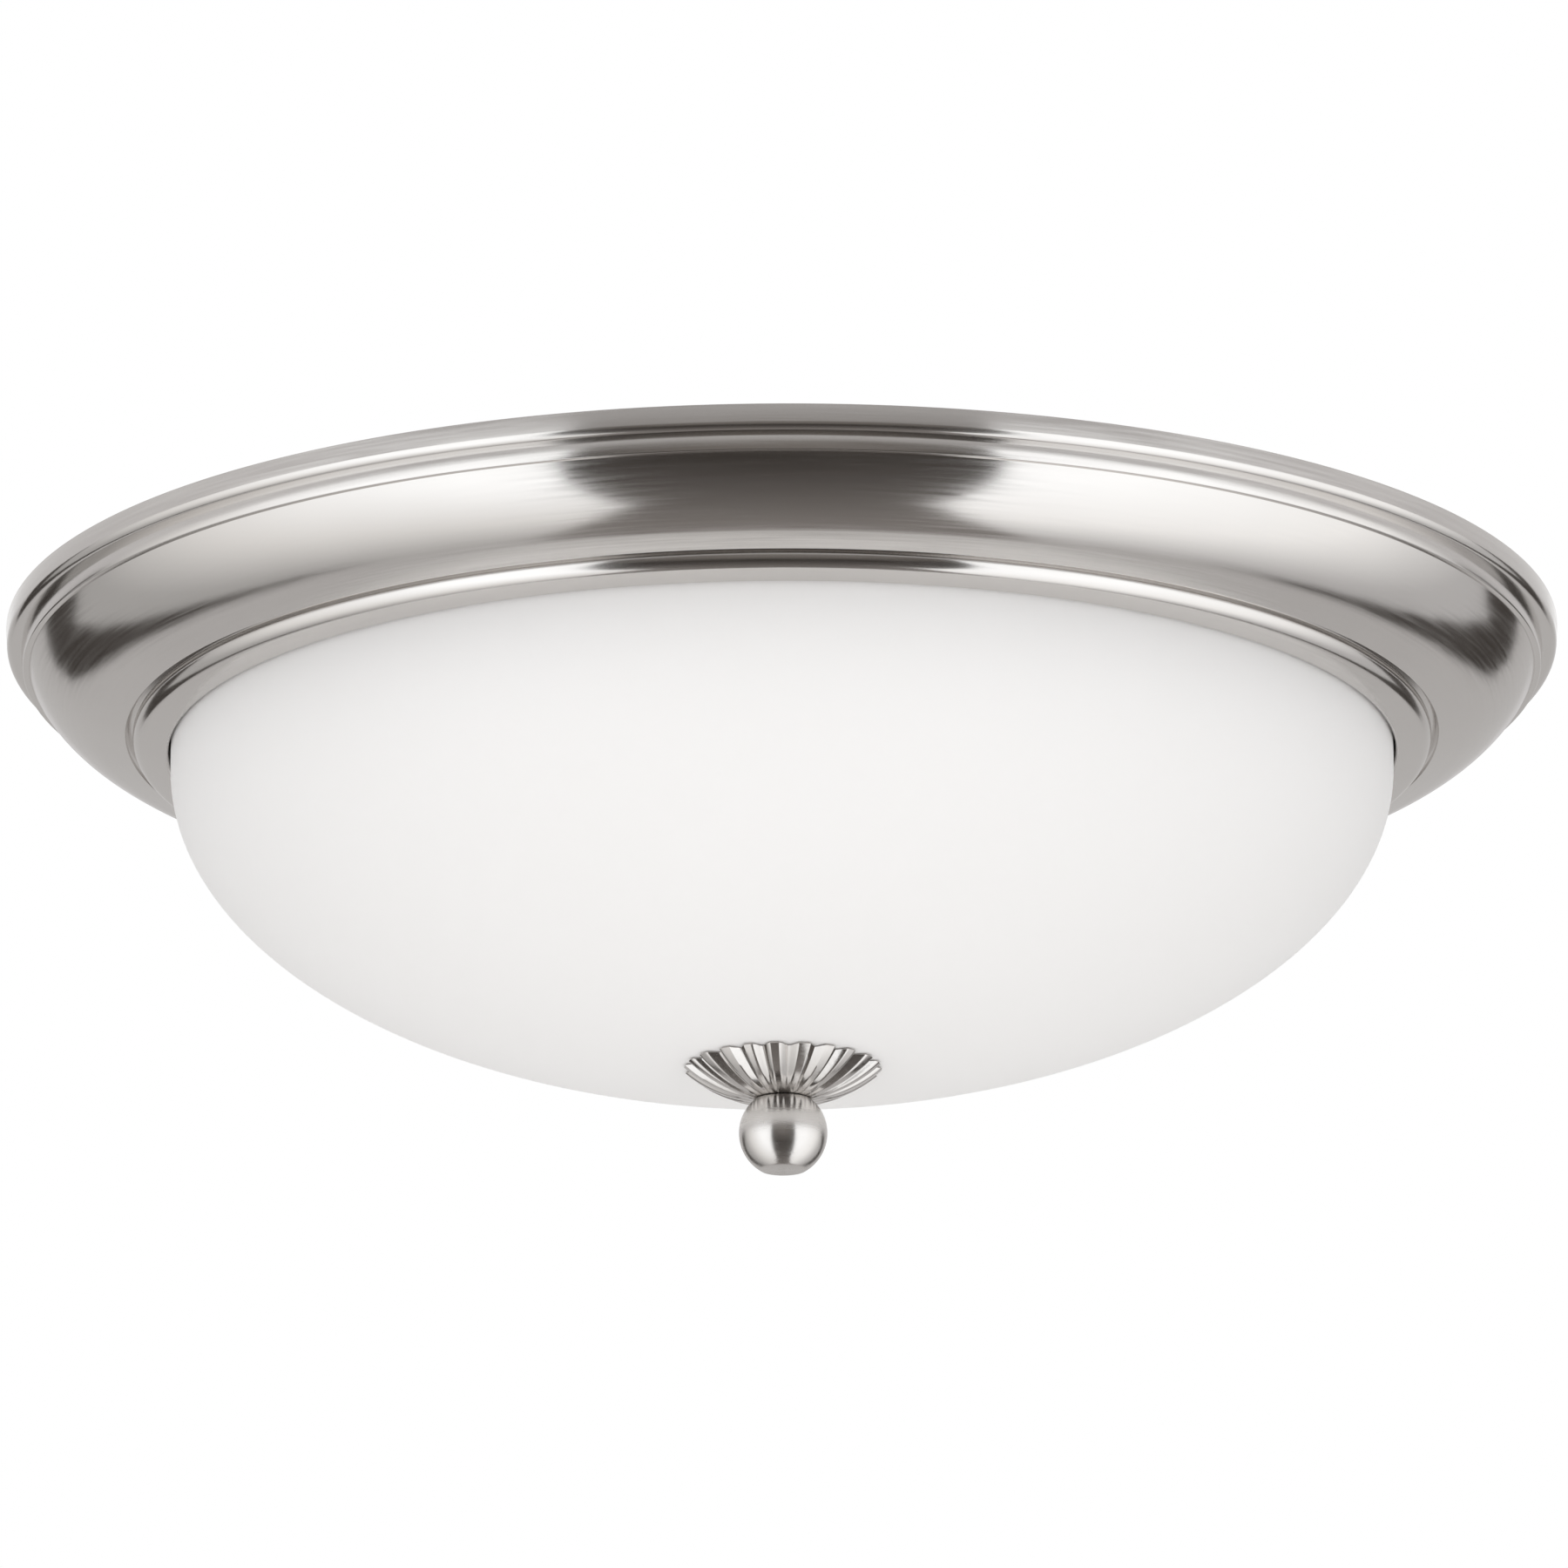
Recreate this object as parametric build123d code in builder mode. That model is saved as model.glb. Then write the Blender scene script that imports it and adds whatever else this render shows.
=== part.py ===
from build123d import *

import os
from math import acos, asin, atan2, cos, degrees, hypot, radians, sin, sqrt, tan

# Flush ceiling light: a spun nickel pan, an opal glass bowl held up by a ball finial, and two lamps inside.
# The frame's origin is the middle of the ceiling plane, +Z is up and everything hangs below.

# Glass bowl: a straight neck that runs into half an ellipse, with a hole at its lowest point
BOWL_RADIUS = 132.4
BOWL_DROP = 66.3
BOWL_SPRING_DEPTH = 31.1
GLASS_WALL = 3.5
GLASS_RIM_ROUND = 0.8
BOWL_HOLE_RADIUS = 6.5

# Spun pan, from its mouth round the bead, the groove, the big roll and the cove out to the ceiling lip
PAN_WALL = 1.0
PLATE_DEPTH = 16.0
PLATE_CORNER = 1.0
MOUTH_EDGE = 1.6
BEAD_FLAT = 0.3
BEAD_ROUND = 4.4
BEAD_STEP = 0.5
GROOVE_WIDTH = 0.7
ROLL_RADIUS = 26.0
ROLL_TURN = 63.5
COVE_INSET = 1.75
COVE_DROP = 2.8
LIP_ROUND = 3.65
LIP_TURN = 80.0
LIP_HEIGHT = 2.1

# Outlet-box strap, its slots for the box screws and its tapped holes
STRAP_WIDTH = 19.0
STRAP_THICKNESS = 1.6
STRAP_END = 5.5
STRAP_CORNER = 4.0
SLOT_SPACING = 88.9
SLOT_LENGTH = 12.0
SLOT_WIDTH = 5.0
STRAP_CENTRE_HOLE = 5.5
GROUND_SCREW_OFFSET = 22.0

# Machine screws
PAN_SCREW_SPACING = 69.85
PAN_SCREW_RADIUS = 2.08
SCREW_HEAD_RADIUS = 4.0
SCREW_HEAD_HEIGHT = 2.4
SCREW_HEAD_ROUND = 0.8
DRIVER_SLOT_WIDTH = 1.0
DRIVER_SLOT_DEPTH = 1.2
SOCKET_SCREW_RADIUS = 1.9
SOCKET_SCREW_DEPTH = 5.0

# Centre rod, its nuts and its split lock washer
ROD_RADIUS = 3.175
ROD_STUB = 1.5
ROD_CHAMFER = 0.6
NUT_ACROSS_FLATS = 11.1
NUT_HEIGHT = 5.5
LOCK_WASHER_RADIUS = 5.6
LOCK_WASHER_THICKNESS = 1.2
LOCK_WASHER_SPLIT = 1.0

# Finial: a fluted cup under the glass, a rubber grommet inside it and a ball below
CUP_RIM_RADIUS = 21.3
CUP_NECK_RADIUS = 6.8
CUP_HEIGHT = 7.0
CUP_CURVE = 22.0
CUP_WALL = 2.4
FLUTE_COUNT = 22
FLUTE_ROUND = 2.6
FLUTE_RIM_DEPTH = 1.4
FLUTE_NECK_DEPTH = 0.1
GROMMET_RADIUS = 10.0
GROMMET_STANDOFF = 0.5
BALL_RADIUS = 9.525
BALL_TOP_FLAT = 6.1
BALL_BOTTOM_FLAT = 4.7
BALL_BORE_DEPTH = 10.0

# Lamp bulb with its screw cap
BULB_RADIUS = 30.0
BULB_LENGTH = 105.0
BULB_WALL = 0.9
BULB_NECK_RUN = 5.0
CAP_RADIUS = 13.0
CAP_LENGTH = 25.0
CAP_WALL = 0.5
CAP_OVERLAP = 6.0
INSULATOR_HEIGHT = 4.0
INSULATOR_TIP_RADIUS = 6.0
CONTACT_RADIUS = 4.5
CONTACT_HEIGHT = 1.2
CONTACT_ROUND = 0.6

# Porcelain lamp socket with its shell, spring contact and bracket
SOCKET_RADIUS = 19.5
SOCKET_COLLAR = 15.0
SOCKET_SKIRT_RADIUS = 17.2
SOCKET_LENGTH = 38.0
SOCKET_FLOOR = 6.5
SHELL_WALL = 0.45
SHELL_END_GAP = 2.0
LEAF_WIDTH = 6.0
LEAF_LENGTH = 14.0
LEAF_THICKNESS = 0.6
LEAF_RISE = 2.2
BRACKET_THICKNESS = 1.5
BRACKET_WIDTH = 26.0
BRACKET_FOOT = 20.0
BRACKET_BEND = 1.5
BRACKET_BELOW_LAMP = 14.0
BRACKET_CORNER = 6.0
RIVET_RADIUS = 1.6
RIVET_HEAD_RADIUS = 3.0
RIVET_HEAD_HEIGHT = 1.2
RIVET_PITCH = 14.0

# Wiring: insulated leads, plate bushings and twist-on connectors
LEAD_RADIUS = 1.2
LEAD_SPREAD = 4.0
LEAD_SETBACK = 4.0
LEAD_HOLE_DEPTH = 3.5
LEAD_BEND_SHARE = 0.45
BUSHING_RUN = 22.0
BUSHING_WALL = 1.2
BUSHING_FLANGE = 1.2
BUSHING_FLANGE_THICKNESS = 1.2
CONNECTOR_RADIUS = 5.5
CONNECTOR_TIP_RADIUS = 3.9
CONNECTOR_LENGTH = 20.0
CONNECTOR_CAVITY_RADIUS = 3.5
CONNECTOR_CAVITY_DEPTH = 14.0
CONNECTOR_ENTRY = 10.0
CONNECTOR_REACH = 42.5

# Fibre pad behind the plate
PAD_TOP_GAP = 1.0
PAD_EDGE_GAP = 2.0
PAD_RIVET_GAP = 4.0

# Clearances
BOWL_NECK_GAP = 0.8
BOWL_RIM_GAP = 0.3
BOWL_HOLE_GAP = 0.4
CUP_GAP = 0.3
GROMMET_GAP = 0.05
BALL_SEAT_GAP = 0.05
THREAD_GAP = 0.05
HOLE_GAP = 0.25
RIVET_GAP = 0.05
BULB_THREAD_GAP = 0.35
BULB_CONTACT_GAP = 0.3
BULB_PLATE_GAP = 3.0
BULB_ROD_GAP = 4.8
CAP_GLASS_GAP = 0.15
SHELL_GAP = 0.1
LEAD_GAP = 0.15
LEAD_PAIR_GAP = 0.5
CONNECTOR_SEAT_GAP = 0.3

# Heights below the ceiling
plate_under = -PLATE_DEPTH
plate_back = plate_under + PAN_WALL
bowl_rim = plate_under - BOWL_RIM_GAP
bowl_bottom = -BOWL_SPRING_DEPTH - BOWL_DROP
lamp_height = plate_under - BULB_PLATE_GAP - BULB_RADIUS

# Places across the plate: the left lamp has its socket at -X, and the right lamp is it turned half round
lamp_offset = ROD_RADIUS + BULB_ROD_GAP + BULB_RADIUS
bulb_start = SOCKET_FLOOR + LEAF_RISE + BULB_CONTACT_GAP
socket_back = -(bulb_start + BULB_LENGTH) / 2
bracket_back = socket_back - BRACKET_THICKNESS
rivet_x = bracket_back - BRACKET_BEND - (BRACKET_FOOT - BRACKET_BEND) / 2
lead_x = socket_back + LEAD_SETBACK
bushing_x = lead_x + BUSHING_RUN
lead_pair_offset = LEAD_RADIUS + LEAD_PAIR_GAP / 2
bushing_bore = lead_pair_offset + LEAD_RADIUS + LEAD_GAP
bushing_hole_radius = bushing_bore + BUSHING_WALL + HOLE_GAP


def save(piece, name):
    piece.label = name
    export_step(piece, f"parts/{name}.step")


def half_turn(piece):
    return piece.rotate(Axis.Z, 180)


def glass_depth(radius):
    """Height of the bowl's outer face at a distance from the axis."""
    return -BOWL_SPRING_DEPTH - BOWL_DROP * sqrt(1 - (radius / BOWL_RADIUS) ** 2)


os.makedirs("parts", exist_ok=True)

# Ceiling pan
mouth_radius = BOWL_RADIUS + BOWL_NECK_GAP
bead_radius = mouth_radius + MOUTH_EDGE + BEAD_FLAT + BEAD_ROUND
roll_centre_radius = bead_radius + GROOVE_WIDTH
roll_start_radius = roll_centre_radius + ROLL_RADIUS * sin(radians(ROLL_TURN))
lip_centre_radius = roll_start_radius + COVE_INSET - LIP_ROUND * cos(radians(LIP_TURN))
pan_radius = lip_centre_radius + LIP_ROUND
roll_start_height = -LIP_HEIGHT - LIP_ROUND * sin(radians(LIP_TURN)) - COVE_DROP
roll_centre_height = roll_start_height + ROLL_RADIUS * cos(radians(ROLL_TURN))
groove_height = roll_centre_height - ROLL_RADIUS
bead_centre_height = groove_height - BEAD_STEP
bead_bottom = bead_centre_height - BEAD_ROUND


def pan_skin(inset):
    """One face of the pan's sheet, from the ceiling lip to the axis, moved into the metal by inset."""
    lip_radius = pan_radius - inset
    lip_arc = CenterArc((lip_centre_radius, -LIP_HEIGHT), LIP_ROUND - inset, 0, -LIP_TURN)
    roll_arc = CenterArc(
        (roll_centre_radius, roll_centre_height), ROLL_RADIUS - inset, ROLL_TURN - 90, -ROLL_TURN
    )
    bead_arc = CenterArc((bead_radius - BEAD_ROUND, bead_centre_height), BEAD_ROUND - inset, 0, -90)
    edge_arc = CenterArc(
        (mouth_radius + MOUTH_EDGE, bead_bottom + MOUTH_EDGE), MOUTH_EDGE - inset, -90, -90
    )
    corner_arc = CenterArc(
        (mouth_radius - PLATE_CORNER, plate_under - PLATE_CORNER), PLATE_CORNER + inset, 0, 90
    )
    Line((lip_radius, 0), lip_arc @ 0)
    Line(lip_arc @ 1, roll_arc @ 0)
    Polyline(
        roll_arc @ 1,
        (bead_radius - inset, groove_height + inset),
        bead_arc @ 0,
    )
    Line(bead_arc @ 1, edge_arc @ 0)
    Line(edge_arc @ 1, corner_arc @ 0)
    Line(corner_arc @ 1, (0, plate_under + inset))


with BuildPart() as ceiling_pan:
    with BuildSketch(Plane.XZ):
        with BuildLine():
            pan_skin(0)
            pan_skin(PAN_WALL)
            Line((pan_radius, 0), (pan_radius - PAN_WALL, 0))
            Line((0, plate_under), (0, plate_back))
        make_face()
    revolve(axis=Axis.Z)
    with Locations((0, 0, plate_back)):
        Hole(ROD_RADIUS + HOLE_GAP, depth=PAN_WALL)
    with Locations(Plane.XY.offset(plate_back)):
        with GridLocations(PAN_SCREW_SPACING, 0, 2, 1):
            Hole(PAN_SCREW_RADIUS + HOLE_GAP, depth=PAN_WALL)
    for side in (-1, 1):
        with Locations((-side * bushing_x, side * lamp_offset, plate_back)):
            Hole(bushing_hole_radius, depth=PAN_WALL)
        with Locations((-side * rivet_x, side * lamp_offset, plate_back)):
            with GridLocations(0, RIVET_PITCH, 1, 2):
                Hole(RIVET_RADIUS + RIVET_GAP, depth=PAN_WALL)
save(ceiling_pan.part, "ceiling_pan")

# Fibre pad that keeps the lamps' heat off the ceiling
pad_inner_radius = (
    hypot(rivet_x, lamp_offset + RIVET_PITCH / 2) + RIVET_HEAD_RADIUS + PAD_RIVET_GAP
)
with BuildPart() as insulation_pad:
    with BuildSketch(Plane.XY.offset(plate_back)):
        Circle(mouth_radius - PAD_EDGE_GAP)
        Circle(pad_inner_radius, mode=Mode.SUBTRACT)
    extrude(amount=-PAD_TOP_GAP - plate_back)
save(insulation_pad.part, "insulation_pad")

# Strap across the outlet box
strap_length = SLOT_SPACING + SLOT_LENGTH + 2 * STRAP_END
strap_under = -STRAP_THICKNESS
with BuildPart() as mounting_strap:
    with BuildSketch():
        RectangleRounded(strap_length, STRAP_WIDTH, STRAP_CORNER)
        Circle(STRAP_CENTRE_HOLE, mode=Mode.SUBTRACT)
        with GridLocations(SLOT_SPACING, 0, 2, 1):
            SlotOverall(SLOT_LENGTH, SLOT_WIDTH, mode=Mode.SUBTRACT)
        with GridLocations(PAN_SCREW_SPACING, 0, 2, 1):
            Circle(PAN_SCREW_RADIUS + THREAD_GAP, mode=Mode.SUBTRACT)
        with Locations((GROUND_SCREW_OFFSET, 0)):
            Circle(PAN_SCREW_RADIUS + THREAD_GAP, mode=Mode.SUBTRACT)
    extrude(amount=-STRAP_THICKNESS)
save(mounting_strap.part, "mounting_strap")


def screw(head_plane, shank_radius, shank_length):
    """A slotted pan-head screw whose shank runs along the plane's normal from its head."""
    with BuildPart() as turned:
        with BuildSketch(head_plane):
            Circle(shank_radius)
        extrude(amount=shank_length)
        with BuildSketch(head_plane):
            Circle(SCREW_HEAD_RADIUS)
        extrude(amount=-SCREW_HEAD_HEIGHT)
        crown = turned.faces().sort_by(Axis(head_plane.origin, head_plane.z_dir))[0]
        fillet(crown.edges(), SCREW_HEAD_ROUND)
        with BuildSketch(head_plane.offset(-SCREW_HEAD_HEIGHT)):
            Rectangle(DRIVER_SLOT_WIDTH, 3 * SCREW_HEAD_RADIUS)
        extrude(amount=DRIVER_SLOT_DEPTH, mode=Mode.SUBTRACT)
    return turned.part


# Screws that pull the pan up to the strap
with BuildPart() as pan_screws:
    for side in (-1, 1):
        head_plane = Plane((side * PAN_SCREW_SPACING / 2, 0, plate_under))
        add(screw(head_plane, PAN_SCREW_RADIUS, PLATE_DEPTH))
save(pan_screws.part, "pan_screws")

# Earth screw in the strap
with BuildPart() as ground_screw:
    add(screw(Plane((GROUND_SCREW_OFFSET, 0, strap_under)), PAN_SCREW_RADIUS, STRAP_THICKNESS))
save(ground_screw.part, "ground_screw")

# Finial heights, from the glass down to the ball
cup_rim = glass_depth(CUP_RIM_RADIUS - CUP_WALL) - CUP_GAP
cup_seat = cup_rim - CUP_HEIGHT
ball_top = cup_seat - BALL_SEAT_GAP
ball_centre = ball_top - sqrt(BALL_RADIUS**2 - BALL_TOP_FLAT**2)
bore_radius = ROD_RADIUS + THREAD_GAP

# Centre rod with a nut on each side of the plate
washer_under = plate_under - LOCK_WASHER_THICKNESS
rod_top = plate_back + NUT_HEIGHT + ROD_STUB
rod_bottom = ball_top - BALL_BORE_DEPTH + ROD_STUB
with BuildPart() as centre_rod:
    with BuildSketch(Plane.XY.offset(rod_bottom)):
        Circle(ROD_RADIUS)
    extrude(amount=rod_top - rod_bottom)
    chamfer(centre_rod.edges().filter_by(GeomType.CIRCLE), ROD_CHAMFER)
save(centre_rod.part, "centre_rod")

with BuildPart() as rod_lock_washer:
    with BuildSketch(Plane.XY.offset(plate_under)):
        Circle(LOCK_WASHER_RADIUS)
        Circle(ROD_RADIUS + HOLE_GAP, mode=Mode.SUBTRACT)
        with Locations((LOCK_WASHER_RADIUS, 0)):
            Rectangle(2 * LOCK_WASHER_RADIUS, LOCK_WASHER_SPLIT, mode=Mode.SUBTRACT)
    extrude(amount=-LOCK_WASHER_THICKNESS)
save(rod_lock_washer.part, "rod_lock_washer")

for name, nut_base in (("rod_nut_upper", plate_back), ("rod_nut_lower", washer_under - NUT_HEIGHT)):
    with BuildPart() as nut:
        with BuildSketch(Plane.XY.offset(nut_base)):
            RegularPolygon(NUT_ACROSS_FLATS / 2, 6, major_radius=False)
            Circle(bore_radius, mode=Mode.SUBTRACT)
        extrude(amount=NUT_HEIGHT)
    save(nut.part, name)

# Glass bowl
with BuildPart() as glass_bowl:
    with BuildSketch(Plane.XZ):
        with BuildLine():
            for inset in (0, GLASS_WALL):
                wall_radius = BOWL_RADIUS - inset
                Line((wall_radius, bowl_rim), (wall_radius, -BOWL_SPRING_DEPTH))
                EllipticalCenterArc(
                    (0, -BOWL_SPRING_DEPTH), wall_radius, BOWL_DROP - inset, 270, arc_size=90
                )
            Line((BOWL_RADIUS - GLASS_WALL, bowl_rim), (BOWL_RADIUS, bowl_rim))
            Line((0, bowl_bottom), (0, bowl_bottom + GLASS_WALL))
        make_face()
    revolve(axis=Axis.Z)
    with BuildSketch(Plane.XY.offset(bowl_bottom)):
        Circle(BOWL_HOLE_RADIUS)
    extrude(amount=BOWL_DROP, mode=Mode.SUBTRACT)
    fillet(glass_bowl.edges().group_by(Axis.Z)[-1], GLASS_RIM_ROUND)
save(glass_bowl.part, "glass_bowl")

# Fluted cup under the glass: a dished washer with grooves that follow its curve and fade towards the neck
chord = Vector(CUP_RIM_RADIUS - CUP_NECK_RADIUS, CUP_HEIGHT)
chord_middle = Vector(CUP_NECK_RADIUS, cup_seat) + chord / 2
centre_rise = sqrt(CUP_CURVE**2 - (chord.length / 2) ** 2)
cup_centre = chord_middle + Vector(-chord.Y, chord.X).normalized() * centre_rise
rim_angle = degrees(atan2(cup_rim - cup_centre.Y, CUP_RIM_RADIUS - cup_centre.X))
neck_angle = degrees(atan2(cup_seat - cup_centre.Y, CUP_NECK_RADIUS - cup_centre.X))
inner_curve = CUP_CURVE - CUP_WALL
inner_rim_angle = -degrees(asin((cup_centre.Y - cup_rim) / inner_curve))
cup_floor = cup_centre.Y - inner_curve
cup_bore = bore_radius + HOLE_GAP

with BuildPart() as finial_cup:
    with BuildSketch(Plane.XZ):
        with BuildLine():
            outer_arc = CenterArc(
                (cup_centre.X, cup_centre.Y), CUP_CURVE, neck_angle, rim_angle - neck_angle
            )
            inner_arc = CenterArc((cup_centre.X, cup_centre.Y), inner_curve, -90, inner_rim_angle + 90)
            Line(outer_arc @ 1, inner_arc @ 1)
            Polyline(inner_arc @ 0, (cup_bore, cup_floor), (cup_bore, cup_seat), outer_arc @ 0)
        make_face()
    revolve(axis=Axis.Z)

# One flute is a round bar bent to an arc that dips deepest into the cup at the rim
flute_rim_reach = CUP_CURVE + FLUTE_ROUND - FLUTE_RIM_DEPTH
flute_neck_reach = CUP_CURVE + FLUTE_ROUND - FLUTE_NECK_DEPTH


def flute_point(reach, angle):
    return (
        cup_centre.X + reach * cos(radians(angle)),
        cup_centre.Y + reach * sin(radians(angle)),
    )


flute_angles = (neck_angle, (neck_angle + rim_angle) / 2, 2 * rim_angle - (neck_angle + rim_angle) / 2)
flute_reaches = (
    flute_neck_reach,
    (flute_neck_reach + flute_rim_reach) / 2,
    1.5 * flute_rim_reach - flute_neck_reach / 2,
)
with BuildPart() as flute:
    with BuildLine(Plane.XZ):
        flute_path = ThreePointArc(*map(flute_point, flute_reaches, flute_angles))
    with BuildSketch(Plane(flute_path @ 0, z_dir=flute_path % 0)):
        Circle(FLUTE_ROUND)
    sweep()

with finial_cup:
    with PolarLocations(0, FLUTE_COUNT):
        add(flute.part, mode=Mode.SUBTRACT)
save(finial_cup.part, "finial_cup")

# Rubber grommet bedded in the cup's hollow, with a boss that centres the bowl's hole
grommet_top = bowl_bottom - CUP_GAP
boss_radius = BOWL_HOLE_RADIUS - BOWL_HOLE_GAP
boss_top = bowl_bottom + GLASS_WALL - GROMMET_STANDOFF
bed_curve = inner_curve - GROMMET_GAP
bed_edge_angle = -degrees(acos((GROMMET_RADIUS - cup_centre.X) / bed_curve))
with BuildPart() as bowl_grommet:
    with BuildSketch(Plane.XZ):
        with BuildLine():
            bed_arc = CenterArc((cup_centre.X, cup_centre.Y), bed_curve, -90, bed_edge_angle + 90)
            Polyline(
                bed_arc @ 0,
                (cup_bore, cup_floor + GROMMET_GAP),
                (cup_bore, boss_top),
                (boss_radius, boss_top),
                (boss_radius, grommet_top),
                (GROMMET_RADIUS, grommet_top),
                bed_arc @ 1,
            )
        make_face()
    revolve(axis=Axis.Z)
save(bowl_grommet.part, "bowl_grommet")

# Ball finial with its tapped blind hole
ball_bottom = ball_centre - sqrt(BALL_RADIUS**2 - BALL_BOTTOM_FLAT**2)
with BuildPart() as ball_finial:
    with Locations((0, 0, ball_centre)):
        Sphere(BALL_RADIUS)
    split(bisect_by=Plane.XY.offset(ball_top), keep=Keep.BOTTOM)
    split(bisect_by=Plane.XY.offset(ball_bottom), keep=Keep.TOP)
    with Locations((0, 0, ball_top)):
        Hole(bore_radius, depth=BALL_BORE_DEPTH)
save(ball_finial.part, "ball_finial")

# Lamp axis and the plane of its turned profiles: x runs along the axis from the bracket, y is the radius
lamp_plane = Plane((socket_back, -lamp_offset, lamp_height), x_dir=(1, 0, 0), z_dir=(0, -1, 0))
lamp_axis = Axis(lamp_plane.origin, (1, 0, 0))


def across_lamp(distance):
    """The plane square to the lamp axis at a distance from the bracket."""
    return Plane(lamp_axis.position + lamp_axis.direction * distance, x_dir=(0, 1, 0), z_dir=(1, 0, 0))


# Lamp brackets: bent strips riveted up to the plate
with BuildPart() as socket_bracket:
    bracket_low = lamp_height - BRACKET_BELOW_LAMP
    foot_end = bracket_back - BRACKET_FOOT
    with BuildSketch(Plane.XZ.offset(lamp_offset - BRACKET_WIDTH / 2)):
        with BuildLine():
            Polyline(
                (socket_back, bracket_low),
                (socket_back, plate_under),
                (foot_end, plate_under),
                (foot_end, plate_under - BRACKET_THICKNESS),
                (bracket_back, plate_under - BRACKET_THICKNESS),
                (bracket_back, bracket_low),
                close=True,
            )
        make_face()
    extrude(amount=BRACKET_WIDTH)
    bends = socket_bracket.edges().filter_by(Axis.Y)
    inner_bend = bends.sort_by_distance((bracket_back, -lamp_offset, plate_under - BRACKET_THICKNESS))[0]
    outer_bend = bends.sort_by_distance((socket_back, -lamp_offset, plate_under))[0]
    fillet(inner_bend, BRACKET_BEND)
    fillet(outer_bend, BRACKET_BEND + BRACKET_THICKNESS)
    fillet(socket_bracket.edges().filter_by(Axis.X).group_by(Axis.Z)[0], BRACKET_CORNER)
    with BuildSketch(across_lamp(0)):
        Circle(SOCKET_SCREW_RADIUS + HOLE_GAP)
    extrude(amount=-BRACKET_THICKNESS, mode=Mode.SUBTRACT)
    with Locations((rivet_x, -lamp_offset, plate_under)):
        with GridLocations(0, RIVET_PITCH, 1, 2):
            Hole(RIVET_RADIUS + RIVET_GAP, depth=BRACKET_THICKNESS)
save(socket_bracket.part, "socket_bracket_left")
save(half_turn(socket_bracket.part), "socket_bracket_right")

# Rivets through both bracket feet and the plate, a head on each side
rivet_stack = [
    (plate_under - BRACKET_THICKNESS - RIVET_HEAD_HEIGHT, RIVET_HEAD_RADIUS, RIVET_HEAD_HEIGHT),
    (plate_under - BRACKET_THICKNESS, RIVET_RADIUS, BRACKET_THICKNESS + PAN_WALL),
    (plate_back, RIVET_HEAD_RADIUS, RIVET_HEAD_HEIGHT),
]
with BuildPart() as bracket_rivets:
    for side in (-1, 1):
        for base, radius, height in rivet_stack:
            with BuildSketch(Plane((-side * rivet_x, side * lamp_offset, base))):
                with GridLocations(0, RIVET_PITCH, 1, 2):
                    Circle(radius)
            extrude(amount=height)
save(bracket_rivets.part, "bracket_rivets")

# Porcelain socket bodies, with two lead holes on top and a blind hole for the screw behind
shell_radius = CAP_RADIUS + BULB_THREAD_GAP + SHELL_WALL
cavity_radius = shell_radius + SHELL_GAP
socket_top = lamp_height + SOCKET_RADIUS
with BuildPart() as socket_body:
    with BuildSketch(lamp_plane):
        with BuildLine():
            Polyline(
                (0, 0),
                (0, SOCKET_RADIUS),
                (SOCKET_COLLAR, SOCKET_RADIUS),
                (SOCKET_COLLAR, SOCKET_SKIRT_RADIUS),
                (SOCKET_LENGTH, SOCKET_SKIRT_RADIUS),
                (SOCKET_LENGTH, cavity_radius),
                (SOCKET_FLOOR, cavity_radius),
                (SOCKET_FLOOR, 0),
                close=True,
            )
        make_face()
    revolve(axis=lamp_axis)
    with Locations((lead_x, -lamp_offset, socket_top)):
        with GridLocations(0, 2 * LEAD_SPREAD, 1, 2):
            Hole(LEAD_RADIUS + LEAD_GAP, depth=LEAD_HOLE_DEPTH)
    with BuildSketch(across_lamp(0)):
        Circle(SOCKET_SCREW_RADIUS + THREAD_GAP)
    extrude(amount=SOCKET_SCREW_DEPTH + HOLE_GAP, mode=Mode.SUBTRACT)
save(socket_body.part, "socket_body_left")
save(half_turn(socket_body.part), "socket_body_right")

# Screws that hold the sockets to their brackets
socket_screw = screw(
    across_lamp(-BRACKET_THICKNESS), SOCKET_SCREW_RADIUS, BRACKET_THICKNESS + SOCKET_SCREW_DEPTH
)
with BuildPart() as socket_screws:
    add(socket_screw)
    add(half_turn(socket_screw))
save(socket_screws.part, "socket_screws")

# Screw shells and spring contacts inside the sockets
with BuildPart() as socket_shell:
    with BuildSketch(across_lamp(SOCKET_FLOOR + SHELL_END_GAP)):
        Circle(shell_radius)
        Circle(shell_radius - SHELL_WALL, mode=Mode.SUBTRACT)
    extrude(amount=SOCKET_LENGTH - SOCKET_FLOOR - 2 * SHELL_END_GAP)
save(socket_shell.part, "socket_shell_left")
save(half_turn(socket_shell.part), "socket_shell_right")

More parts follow.
